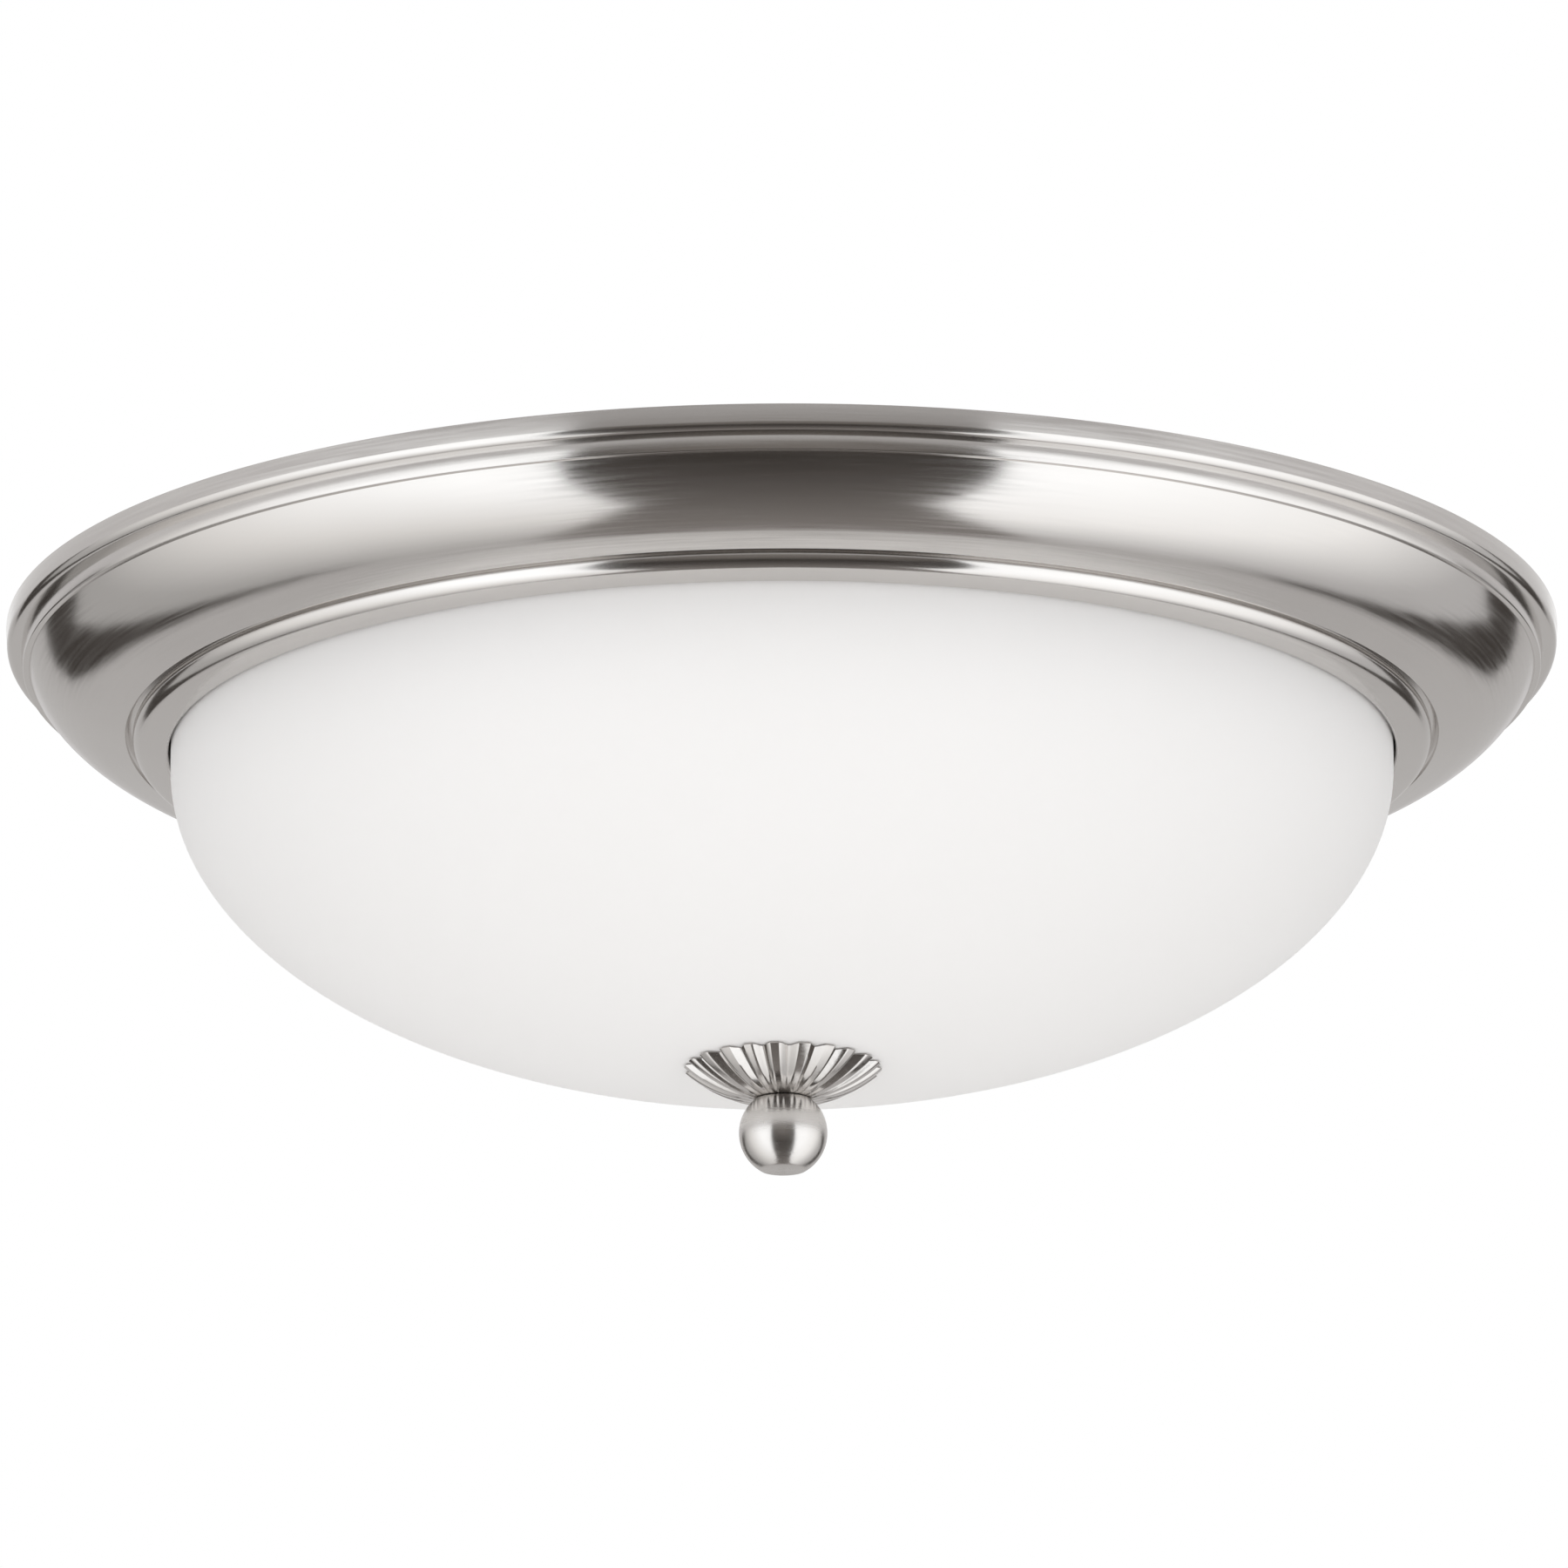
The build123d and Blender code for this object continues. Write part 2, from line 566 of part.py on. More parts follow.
with BuildPart() as socket_contact:
    with BuildSketch(lamp_plane):
        with BuildLine():
            Polyline(
                (SOCKET_FLOOR, LEAF_LENGTH / 2),
                (SOCKET_FLOOR, -LEAF_LENGTH / 2),
                (SOCKET_FLOOR + LEAF_THICKNESS, -LEAF_LENGTH / 2),
                (SOCKET_FLOOR + LEAF_THICKNESS, LEAF_LENGTH / 2 - 2 * LEAF_THICKNESS),
                (SOCKET_FLOOR + LEAF_RISE - LEAF_THICKNESS, LEAF_LENGTH / 4),
                (SOCKET_FLOOR + LEAF_RISE - LEAF_THICKNESS, -LEAF_LENGTH / 4),
                (SOCKET_FLOOR + LEAF_RISE, -LEAF_LENGTH / 4),
                (SOCKET_FLOOR + LEAF_RISE, LEAF_LENGTH / 4 + LEAF_THICKNESS),
                (SOCKET_FLOOR + LEAF_THICKNESS, LEAF_LENGTH / 2),
                close=True,
            )
        make_face()
    extrude(amount=LEAF_WIDTH / 2, both=True)
save(socket_contact.part, "socket_contact_left")
save(half_turn(socket_contact.part), "socket_contact_right")

# Bulb envelopes: a straight neck, a hollow curve and a round end that meet without a corner
bulb_tip = bulb_start + BULB_LENGTH
cap_end = bulb_start + CAP_LENGTH
neck_radius = CAP_RADIUS - CAP_WALL - CAP_GLASS_GAP
neck_end = cap_end + BULB_NECK_RUN
bulb_centre = bulb_tip - BULB_RADIUS
neck_reach = bulb_centre - neck_end
neck_curve = (neck_reach**2 + neck_radius**2 - BULB_RADIUS**2) / (2 * (BULB_RADIUS - neck_radius))
curve_turn = degrees(atan2(neck_reach, neck_radius + neck_curve))


def bulb_outline(inset):
    """The envelope's half outline, moved into the glass by inset."""
    radius = neck_radius - inset
    Line((cap_end - CAP_OVERLAP, radius), (neck_end, radius))
    CenterArc((neck_end, neck_radius + neck_curve), neck_curve + inset, -90, curve_turn)
    CenterArc((bulb_centre, 0), BULB_RADIUS - inset, 90 + curve_turn, -90 - curve_turn)


with BuildPart() as bulb_glass:
    with BuildSketch(lamp_plane):
        with BuildLine():
            bulb_outline(0)
            bulb_outline(BULB_WALL)
            Line((cap_end - CAP_OVERLAP, neck_radius), (cap_end - CAP_OVERLAP, neck_radius - BULB_WALL))
            Line((bulb_tip, 0), (bulb_tip - BULB_WALL, 0))
        make_face()
    revolve(axis=lamp_axis)
save(bulb_glass.part, "bulb_glass_left")
save(half_turn(bulb_glass.part), "bulb_glass_right")

# Screw caps, their glass insulators and the solder contacts at their ends
insulator_start = bulb_start + CONTACT_HEIGHT
cap_start = insulator_start + INSULATOR_HEIGHT
with BuildPart() as bulb_cap:
    with BuildSketch(across_lamp(cap_start)):
        Circle(CAP_RADIUS)
        Circle(CAP_RADIUS - CAP_WALL, mode=Mode.SUBTRACT)
    extrude(amount=cap_end - cap_start)
save(bulb_cap.part, "bulb_cap_left")
save(half_turn(bulb_cap.part), "bulb_cap_right")

with BuildPart() as bulb_insulator:
    with BuildSketch(lamp_plane):
        with BuildLine():
            Polyline(
                (insulator_start, 0),
                (insulator_start, INSULATOR_TIP_RADIUS),
                (cap_start, CAP_RADIUS),
                (cap_start, 0),
                close=True,
            )
        make_face()
    revolve(axis=lamp_axis)
save(bulb_insulator.part, "bulb_insulator_left")
save(half_turn(bulb_insulator.part), "bulb_insulator_right")

with BuildPart() as bulb_contact:
    with BuildSketch(across_lamp(bulb_start)):
        Circle(CONTACT_RADIUS)
    extrude(amount=CONTACT_HEIGHT)
    tip_edge = bulb_contact.edges().sort_by(Axis.X)[0]
    fillet(tip_edge, CONTACT_ROUND)
save(bulb_contact.part, "bulb_contact_left")
save(half_turn(bulb_contact.part), "bulb_contact_right")

# Snap bushings where the leads go up through the plate, a flange on each side
bushing_flange_radius = bushing_hole_radius + BUSHING_FLANGE
bushing_stack = [
    (plate_under - BUSHING_FLANGE_THICKNESS, bushing_flange_radius, BUSHING_FLANGE_THICKNESS),
    (plate_under, bushing_bore + BUSHING_WALL, PAN_WALL),
    (plate_back, bushing_flange_radius, BUSHING_FLANGE_THICKNESS),
]
with BuildPart() as wire_bushings:
    for side in (-1, 1):
        for base, radius, height in bushing_stack:
            with BuildSketch(Plane((-side * bushing_x, side * lamp_offset, base))):
                Circle(radius)
                Circle(bushing_bore, mode=Mode.SUBTRACT)
            extrude(amount=height)
save(wire_bushings.part, "wire_bushings")

# Twist-on connectors, lying on the back of the plate with their mouths towards the middle
connector_height = plate_back + CONNECTOR_RADIUS + CONNECTOR_SEAT_GAP
live_heading = Vector(1, -1, 0).normalized()
live_across = Vector(1, 1, 0).normalized()
live_mouth = live_heading * CONNECTOR_REACH + Vector(0, 0, connector_height)
with BuildPart() as live_connector:
    with BuildSketch(Plane(live_mouth, x_dir=live_heading, z_dir=live_across)):
        with BuildLine():
            Polyline(
                (0, CONNECTOR_CAVITY_RADIUS),
                (0, CONNECTOR_RADIUS),
                (CONNECTOR_LENGTH, CONNECTOR_TIP_RADIUS),
                (CONNECTOR_LENGTH, 0),
                (CONNECTOR_CAVITY_DEPTH, 0),
                (CONNECTOR_CAVITY_DEPTH, CONNECTOR_CAVITY_RADIUS),
                close=True,
            )
        make_face()
    revolve(axis=Axis(live_mouth, live_heading))
with BuildPart() as wire_connectors:
    add(live_connector.part)
    add(half_turn(live_connector.part))
save(wire_connectors.part, "wire_connectors")


def lead(points):
    """An insulated lead along the points, with each bend as wide as its two runs allow."""
    radii = []
    for before, corner, after in zip(points, points[1:], points[2:]):
        run_in = Vector(corner) - Vector(before)
        run_out = Vector(after) - Vector(corner)
        half_bend = radians(run_in.get_angle(run_out)) / 2
        radii.append(LEAD_BEND_SHARE * min(run_in.length, run_out.length) / tan(half_bend))
    with BuildPart() as wire:
        with BuildLine():
            route = FilletPolyline(*points, radius=radii)
        with BuildSketch(Plane(route @ 0, z_dir=route % 0)):
            Circle(LEAD_RADIUS)
        sweep()
    print("lead bends", [round(radius, 1) for radius in radii], "length", round(route.length, 1))
    return wire.part


# Leads of the left socket: the outer one goes to the live connector, the inner one to the neutral one
lead_mid_height = (socket_top + plate_under) / 2
live_approach = live_mouth - live_heading * (CONNECTOR_ENTRY - lead_pair_offset)
live_end = live_mouth + live_heading * CONNECTOR_ENTRY
neutral_approach = Vector(-live_approach.X, -live_approach.Y, connector_height)
neutral_end = Vector(-live_end.X, -live_end.Y, connector_height)


def socket_lead(across, recess_route, approach, end):
    """A lead from its hole in the socket, up through the bushing and across the recess into a connector."""
    hole_y = -lamp_offset + across * LEAD_SPREAD
    bushing_y = -lamp_offset + across * lead_pair_offset
    beside = live_across * -lead_pair_offset
    return lead(
        [
            (lead_x, hole_y, socket_top - LEAD_HOLE_DEPTH),
            (lead_x, hole_y, lead_mid_height),
            (bushing_x, bushing_y, lead_mid_height),
            (bushing_x, bushing_y, connector_height),
            *[(x, y, connector_height) for x, y in recess_route],
            approach + beside,
            end + beside,
        ]
    )


outer_route = [(-6, -24), (9, -20.5)]
inner_route = [(-20, -20), (-15, -3), (-17, 11)]
outer_lead = socket_lead(-1, outer_route, live_approach, live_end)
inner_lead = socket_lead(1, inner_route, neutral_approach, neutral_end)
save(outer_lead, "live_lead_left")
save(half_turn(outer_lead), "neutral_lead_right")
save(inner_lead, "neutral_lead_left")
save(half_turn(inner_lead), "live_lead_right")
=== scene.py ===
from math import acos, asin, atan2, ceil, cos, degrees, hypot, pi, radians, sin, sqrt

import bpy
from mathutils import Matrix, Vector


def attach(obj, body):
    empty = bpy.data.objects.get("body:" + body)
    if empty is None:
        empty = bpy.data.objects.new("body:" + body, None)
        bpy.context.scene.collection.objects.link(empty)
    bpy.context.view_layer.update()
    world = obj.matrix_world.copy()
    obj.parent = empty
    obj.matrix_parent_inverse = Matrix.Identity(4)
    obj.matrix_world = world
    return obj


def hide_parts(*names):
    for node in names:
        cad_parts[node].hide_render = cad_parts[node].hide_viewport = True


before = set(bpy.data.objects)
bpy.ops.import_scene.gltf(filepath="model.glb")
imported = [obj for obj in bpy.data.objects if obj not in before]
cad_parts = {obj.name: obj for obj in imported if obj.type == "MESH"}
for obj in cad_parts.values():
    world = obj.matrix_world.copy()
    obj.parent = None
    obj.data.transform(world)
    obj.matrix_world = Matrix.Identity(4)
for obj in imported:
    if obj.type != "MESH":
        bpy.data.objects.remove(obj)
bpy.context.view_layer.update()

# Ceiling pan
# A disc of steel spun over a former into a lip, a step, a big roll, a groove and a bead, with a flat middle.
# It is brushed while it still turns, nickel plated, and held up to the outlet-box strap by two screws.
pan_wall = 1.0
lip_radius, lip_centre, lip_round = 168.234, (166.35, -3.6), 1.7
step_centre, step_round = (150.0, -5.5), 14.9
foot_centre, foot_round = (164.28, -8.54), 0.3
roll_centre, roll_round, roll_start, roll_turn = (140.2, 3.107), 26.0, -27.4, -44.2
groove_edge, groove_wall, groove_floor = (142.3, -23.4), (142.1, -22.8), (141.4, -22.4)
bead_centre, bead_round, bead_start, bead_turn = (137.8, -23.9), 2.9, 20, -97
hem_centre, hem_round, hem_start, hem_turn = (133.6, -27.06), 0.7, -77, -103
hem_back = [(134.6, -26.6), (134.2, -26.2)]
plate_corner, plate_round, plate_under = (132.2, -17.0), 1.0, -16.0
plate_rings = (120, 104, 88, 72, 56, 40, 24, 12, 3.425)
rim_back = [(163.4, -7.7), (163.8, -5.0), (166.2, -4.4), (167.1, -3.6), (lip_radius - pan_wall, 0)]
round_steps, soft_angle = 224, radians(32)
lamp_offset = 37.975
rivet_places = [(x, y * lamp_offset + step) for x, y in ((-69.25, -1), (69.25, 1)) for step in (-7, 7)]
bushing_places = [(-31, -lamp_offset), (31, lamp_offset)]
pan_screw_places = [(-34.925, 0), (34.925, 0)]
screw_hole, bushing_hole, rivet_hole, drill_length = 2.33, 4.25, 1.65, 4.0


def arc(centre, radius, start, turn, points):
    """Points in millimetres round an arc, by angles in degrees."""
    angles = [radians(start + turn * i / (points - 1)) for i in range(points)]
    return [(centre[0] + radius * cos(a), centre[1] + radius * sin(a)) for a in angles]


def draw_outline(name, outline):
    """A line through (radius, height) points in millimetres in the XZ plane, left in edit mode."""
    bpy.ops.object.select_all(action="DESELECT")
    bpy.ops.mesh.primitive_plane_add(size=0.001)
    piece = bpy.context.object
    piece.name = name
    bpy.ops.object.mode_set(mode="EDIT")
    bpy.ops.mesh.select_mode(type="VERT")
    bpy.ops.mesh.merge(type="CENTER")
    bpy.ops.transform.translate(value=(outline[0][0] / 1000, 0, outline[0][1] / 1000))
    for (r0, z0), (r1, z1) in zip(outline, outline[1:]):
        step = ((r1 - r0) / 1000, 0, (z1 - z0) / 1000)
        bpy.ops.mesh.extrude_region_move(TRANSFORM_OT_translate={"value": step})
    bpy.ops.mesh.select_all(action="SELECT")
    return piece


def close_mesh():
    """Merges what lies together, turns faces outwards and leaves edit mode with soft and hard edges set."""
    bpy.ops.mesh.select_all(action="SELECT")
    bpy.ops.mesh.remove_doubles(threshold=1e-6)
    bpy.ops.mesh.normals_make_consistent(inside=False)
    bpy.ops.object.mode_set(mode="OBJECT")
    bpy.ops.object.shade_smooth_by_angle(angle=soft_angle)


def turn_on_lathe(name, outline, steps):
    """Spins an outline round the Z axis, as on a lathe."""
    piece = draw_outline(name, outline)
    bpy.ops.mesh.spin(steps=steps, angle=2 * pi, center=(0, 0, 0), axis=(0, 0, 1))
    close_mesh()
    return piece


def pick(*pieces):
    """Selects these pieces alone and makes the first of them active."""
    bpy.ops.object.select_all(action="DESELECT")
    for piece in pieces:
        piece.select_set(True)
    bpy.context.view_layer.objects.active = pieces[0]


def cut(piece, tool, operation="DIFFERENCE"):
    """Cuts a piece with another one, which is used up."""
    pick(piece)
    knife = piece.modifiers.new("cut", "BOOLEAN")
    knife.object, knife.operation, knife.solver = tool, operation, "EXACT"
    bpy.ops.object.modifier_apply(modifier="cut")
    bpy.data.objects.remove(tool)
    bpy.ops.object.shade_smooth_by_angle(angle=soft_angle)


def join(*pieces):
    """Joins pieces into the first of them."""
    pick(*pieces)
    bpy.ops.object.join()
    return pieces[0]


def fit(piece, material, slot, body, *nodes):
    """Gives a piece its material, rides it on a body and puts it in the place of CAD nodes."""
    piece.data.materials.clear()
    piece.data.materials.append(material)
    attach(piece, body)
    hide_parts(*nodes)


def linear(code):
    """An sRGB hex colour as linear RGBA."""
    parts = [int(code[i : i + 2], 16) / 255 for i in (1, 3, 5)]
    return [c / 12.92 if c <= 0.04045 else ((c + 0.055) / 1.055) ** 2.4 for c in parts] + [1]


def add_node(owner, kind, inputs, **settings):
    """Adds a shader node. Its inputs take a value, or another node's output as a link."""
    made = owner.node_tree.nodes.new(kind)
    for name, value in settings.items():
        setattr(made, name, value)
    for socket, value in inputs.items():
        if isinstance(value, bpy.types.NodeSocket):
            owner.node_tree.links.new(value, made.inputs[socket])
        else:
            made.inputs[socket].default_value = value
    return made


def new_material(name):
    """An empty node material."""
    material = bpy.data.materials.new(name)
    material.use_nodes = True
    material.node_tree.nodes.clear()
    return material


def pan_skin(inset):
    """One face of the pan's sheet from the big roll to the rod's hole, moved into the metal by inset."""
    return [
        *arc(roll_centre, roll_round - inset, roll_start, roll_turn, 34),
        (groove_edge[0] - 0.3 * inset, groove_edge[1] + inset),
        *[(r - 0.5 * inset, z + inset) for r, z in (groove_wall, groove_floor)],
        *arc(bead_centre, bead_round - inset, bead_start + 30 * inset, bead_turn - 30 * inset, 18),
        *(hem_back if inset else arc(hem_centre, hem_round, hem_start, hem_turn, 8)),
        *arc(plate_corner, plate_round + inset, 0, 90, 6),
        *[(r, plate_under + inset) for r in plate_rings],
    ]


rim_face = [
    (lip_radius, 0),
    *arc(lip_centre, lip_round, -3, -85, 10),
    (step_centre[0] + step_round, lip_centre[1] - lip_round - 0.02),
    *arc(step_centre, step_round, 0, -12, 8),
    *arc(foot_centre, foot_round, -24, -66, 4),
]
pan_outline = rim_face + pan_skin(0) + pan_skin(pan_wall)[::-1] + rim_back
spun_pan = turn_on_lathe("spun_pan", pan_outline + pan_outline[:1], round_steps)
drills = []
for places, hole in (
    (pan_screw_places, screw_hole),
    (bushing_places, bushing_hole),
    (rivet_places, rivet_hole),
):
    for x, y in places:
        bpy.ops.mesh.primitive_cylinder_add(
            vertices=32,
            radius=hole / 1000,
            depth=drill_length / 1000,
            location=(x / 1000, y / 1000, plate_under / 1000),
        )
        drills.append(bpy.context.object)
cut(spun_pan, join(*drills))

# Spun and brushed nickel plate: a warm grey mirror, blurred across the brush lines that run round the axis.
# The real lines are about 0.1 mm apart, too fine to show here, so they are drawn 0.7 mm apart. Each one runs
# on for about a seventh of a radian.
line_gap, line_run = 0.0007, (7, 7, 7)
nickel = new_material("spun_nickel_plate")
place = add_node(nickel, "ShaderNodeTexCoord", {}).outputs["Object"]
flat = add_node(nickel, "ShaderNodeVectorMath", {0: place, 1: (1, 1, 0)}, operation="MULTIPLY").outputs[0]
reach = add_node(nickel, "ShaderNodeVectorMath", {0: flat}, operation="LENGTH").outputs["Value"]
heading = add_node(nickel, "ShaderNodeVectorMath", {0: flat}, operation="NORMALIZE").outputs[0]
height = add_node(nickel, "ShaderNodeSeparateXYZ", {0: place}).outputs["Z"]
across = add_node(nickel, "ShaderNodeMath", {0: reach, 1: 1 / line_gap}, operation="MULTIPLY").outputs[0]
down = add_node(nickel, "ShaderNodeMath", {0: height, 1: 1 / line_gap}, operation="MULTIPLY").outputs[0]
offset = add_node(nickel, "ShaderNodeCombineXYZ", {"Z": across}).outputs[0]
spot = add_node(
    nickel,
    "ShaderNodeVectorMath",
    {0: heading, 1: line_run, 2: offset},
    operation="MULTIPLY_ADD",
    name="spot",
).outputs[0]
lines = add_node(
    nickel, "ShaderNodeTexNoise", {"Vector": spot, "W": down, "Scale": 1, "Detail": 2}, noise_dimensions="4D"
).outputs[0]
clouds = add_node(nickel, "ShaderNodeTexNoise", {"Vector": place, "Scale": 1 / 0.04, "Detail": 2}).outputs[0]
tone = add_node(
    nickel, "ShaderNodeMix", {0: clouds, 6: linear("#CECBC8"), 7: linear("#D6D3D0")}, data_type="RGBA"
).outputs[2]
gloss = add_node(
    nickel, "ShaderNodeMapRange", {"Value": lines, 1: 0.3, 2: 0.7, 3: 0.12, 4: 0.21}, name="gloss"
).outputs[0]
scratch = add_node(
    nickel, "ShaderNodeBump", {"Strength": 0.12, "Distance": 0.00004, "Height": lines}, name="scratch"
).outputs[0]
metal = add_node(
    nickel,
    "ShaderNodeBsdfPrincipled",
    {
        "Base Color": tone,
        "Metallic": 1,
        "Roughness": gloss,
        "Anisotropic": 0.6,
        "Anisotropic Rotation": 0.25,
        "Normal": scratch,
    },
)
add_node(nickel, "ShaderNodeOutputMaterial", {"Surface": metal.outputs[0]})
fit(spun_pan, nickel, "brushed_nickel", "fixture", "ceiling_pan")

# Fibre pad
# A ring of loose glass fibre, cut from a batt and laid on the plate's back, that keeps the lamps' heat off
# the ceiling. Its faces are uneven and its edges have been crushed by the cutter.
pad_inner, pad_outer, pad_low, pad_high = 89.8, 131.2, -15.0, -1.0
pad_edge = 4.0
pad_outline = [
    *arc((pad_outer - pad_edge, pad_low + pad_edge), pad_edge, -90, 90, 7),
    *arc((pad_outer - pad_edge, pad_high - pad_edge), pad_edge, 0, 90, 7),
    *[(r, pad_high) for r in (121, 115, 110, 105, 100)],
    *arc((pad_inner + pad_edge, pad_high - pad_edge), pad_edge, 90, 90, 7),
    *arc((pad_inner + pad_edge, pad_low + pad_edge), pad_edge, 180, 90, 7),
    *[(r, pad_low) for r in (100, 110, 121)],
    (pad_outer - pad_edge, pad_low),
]
fibre_pad = turn_on_lathe("fibre_pad", pad_outline, 320)
softened = fibre_pad.modifiers.new("rounds", "SUBSURF")
softened.levels = softened.render_levels = 1
bpy.ops.object.modifier_apply(modifier="rounds")
for label, grain, depth in (("lumps", 0.016, 0.0022), ("tufts", 0.004, 0.0012)):
    cloud = bpy.data.textures.new(label, "CLOUDS")
    cloud.noise_scale = grain
    cloud.noise_depth = 2
    push = fibre_pad.modifiers.new(label, "DISPLACE")
    push.texture, push.texture_coords = cloud, "LOCAL"
    push.strength, push.mid_level = depth, 0.85
    bpy.ops.object.modifier_apply(modifier=label)
bpy.ops.object.shade_smooth()

# Glass fibre: pale yellow strands with binder, matt, lying every way in the plane of the batt.
# A strand is about 0.01 mm thick, far too fine to show, so the strands are drawn 0.5 mm wide.
fibre = new_material("yellow_glass_fibre")
place = add_node(fibre, "ShaderNodeTexCoord", {}).outputs["Object"]
strands = []
for turn, run in ((0.4, 0.012), (1.5, 0.009), (2.6, 0.011)):
    laid = add_node(
        fibre,
        "ShaderNodeMapping",
        {"Vector": place, "Rotation": (0, 0, turn), "Scale": (1 / 0.0005, 1 / run, 1 / 0.001)},
    ).outputs[0]
    streaks = add_node(fibre, "ShaderNodeTexNoise", {"Vector": laid, "Scale": 1, "Detail": 3})
    strands.append(streaks.outputs[0])
crossed = add_node(fibre, "ShaderNodeMath", {0: strands[0], 1: strands[1]}, operation="MAXIMUM").outputs[0]
mat = add_node(fibre, "ShaderNodeMath", {0: crossed, 1: strands[2]}, operation="MAXIMUM").outputs[0]
lumps = add_node(fibre, "ShaderNodeTexNoise", {"Vector": place, "Scale": 1 / 0.012, "Detail": 4}).outputs[0]
binder = add_node(
    fibre, "ShaderNodeMix", {0: lumps, 6: linear("#C9A95A"), 7: linear("#EBDCA4")}, data_type="RGBA"
).outputs[2]
light_share = add_node(
    fibre, "ShaderNodeMapRange", {"Value": mat, 1: 0.52, 2: 0.72, 3: 0.0, 4: 0.85}
).outputs[0]
strand_tone = add_node(
    fibre, "ShaderNodeMix", {0: light_share, 6: binder, 7: linear("#F5EBC6")}, data_type="RGBA"
).outputs[2]
nap = add_node(fibre, "ShaderNodeBump", {"Strength": 0.7, "Distance": 0.0005, "Height": mat}).outputs[0]
wool = add_node(
    fibre,
    "ShaderNodeBsdfPrincipled",
    {
        "Base Color": strand_tone,
        "Roughness": 0.92,
        "Sheen Weight": 0.25,
        "Sheen Roughness": 0.6,
        "Normal": nap,
    },
)
add_node(fibre, "ShaderNodeOutputMaterial", {"Surface": wool.outputs[0]})
fit(fibre_pad, fibre, "glass_fibre", "fixture", "insulation_pad")

# Outlet-box strap
# A strip of steel, pressed out with its slots and tapped holes and zinc plated, that screws to the outlet
# box in the ceiling. The press leaves its edges slightly rounded.


def ease(node, name, edge):
    """A copy of a CAD node with its corners rounded by edge, in millimetres."""
    piece = bpy.data.objects.new(name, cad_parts[node].data.copy())
    bpy.context.scene.collection.objects.link(piece)
    pick(piece)
    bpy.ops.mesh.customdata_custom_splitnormals_clear()
    bpy.ops.object.mode_set(mode="EDIT")
    bpy.ops.mesh.select_all(action="SELECT")
    bpy.ops.mesh.remove_doubles(threshold=1e-6)
    bpy.ops.mesh.dissolve_limited(angle_limit=radians(0.4))
    bpy.ops.object.mode_set(mode="OBJECT")
    rounded = piece.modifiers.new("edges", "BEVEL")
    rounded.width, rounded.segments = edge / 1000, 2
    rounded.limit_method, rounded.angle_limit = "ANGLE", radians(45)
    bpy.ops.object.modifier_apply(modifier="edges")
    bpy.ops.object.shade_smooth_by_angle(angle=soft_angle)
    return piece


# Zinc plate: cool bright grey with cloudy patches of blue and straw passivate, softer than polished steel.
zinc = new_material("zinc_plated_steel")
place = add_node(zinc, "ShaderNodeTexCoord", {}).outputs["Object"]
patches = add_node(
    zinc, "ShaderNodeTexNoise", {"Vector": place, "Scale": 1 / 0.009, "Detail": 3, "Distortion": 0.6}
).outputs[0]
grain = add_node(zinc, "ShaderNodeTexNoise", {"Vector": place, "Scale": 1 / 0.0006, "Detail": 2}).outputs[0]
share = add_node(zinc, "ShaderNodeMapRange", {"Value": patches, 1: 0.35, 2: 0.65}).outputs[0]
film = add_node(
    zinc, "ShaderNodeMix", {0: share, 6: linear("#BFC6CC"), 7: linear("#D8D4C3")}, data_type="RGBA"
).outputs[2]
dull = add_node(zinc, "ShaderNodeMapRange", {"Value": grain, 1: 0.3, 2: 0.7, 3: 0.26, 4: 0.42}).outputs[0]
pits = add_node(zinc, "ShaderNodeBump", {"Strength": 0.1, "Distance": 0.0001, "Height": grain}).outputs[0]
metal = add_node(
    zinc, "ShaderNodeBsdfPrincipled", {"Base Color": film, "Metallic": 1, "Roughness": dull, "Normal": pits}
)
add_node(zinc, "ShaderNodeOutputMaterial", {"Surface": metal.outputs[0]})
fit(ease("mounting_strap", "pressed_strap", 0.3), zinc, "zinc_steel", "fixture", "mounting_strap")

# Screws
# Slotted pan-head machine screws of zinc plated steel with rolled threads. Two long ones pull the pan up to
# the strap, a green dyed one takes the earth wire, and two short ones hold the sockets to their brackets.
screw_shank, screw_pitch, pan_screw_length = 2.08, 0.79, 16.0
driver_slot, driver_place = (0.0005, 0.006, 0.00105), (0, 0, -0.00225)
earth_screw_place, strap_thickness = 22.0, 1.6


def roll_thread(name, crest, root, pitch, low, high, steps):
    """A screw thread along Z between two heights, cut square at its ends. All in millimetres."""
    wave = [(root, 0), (crest, 0.42 * pitch), (crest, 0.54 * pitch), (root, 0.96 * pitch), (root, pitch)]
    piece = draw_outline(name, wave)
    bpy.ops.transform.translate(value=(0, 0, (low - 1.5 * pitch) / 1000))
    bpy.ops.object.mode_set(mode="OBJECT")
    turns = piece.modifiers.new("turns", "SCREW")
    turns.angle, turns.screw_offset = 2 * pi, pitch / 1000
    turns.iterations = ceil((high - low) / pitch) + 3
    turns.steps = turns.render_steps = steps
    bpy.ops.object.modifier_apply(modifier="turns")
    bpy.ops.object.mode_set(mode="EDIT")
    bpy.ops.mesh.select_all(action="SELECT")
    bpy.ops.mesh.remove_doubles(threshold=1e-6)
    for level, side in ((low, -1), (high, 1)):
        bpy.ops.mesh.select_all(action="SELECT")
        bpy.ops.mesh.bisect(
            plane_co=(0, 0, level / 1000), plane_no=(0, 0, side), use_fill=True, clear_outer=True
        )
    close_mesh()
    return piece


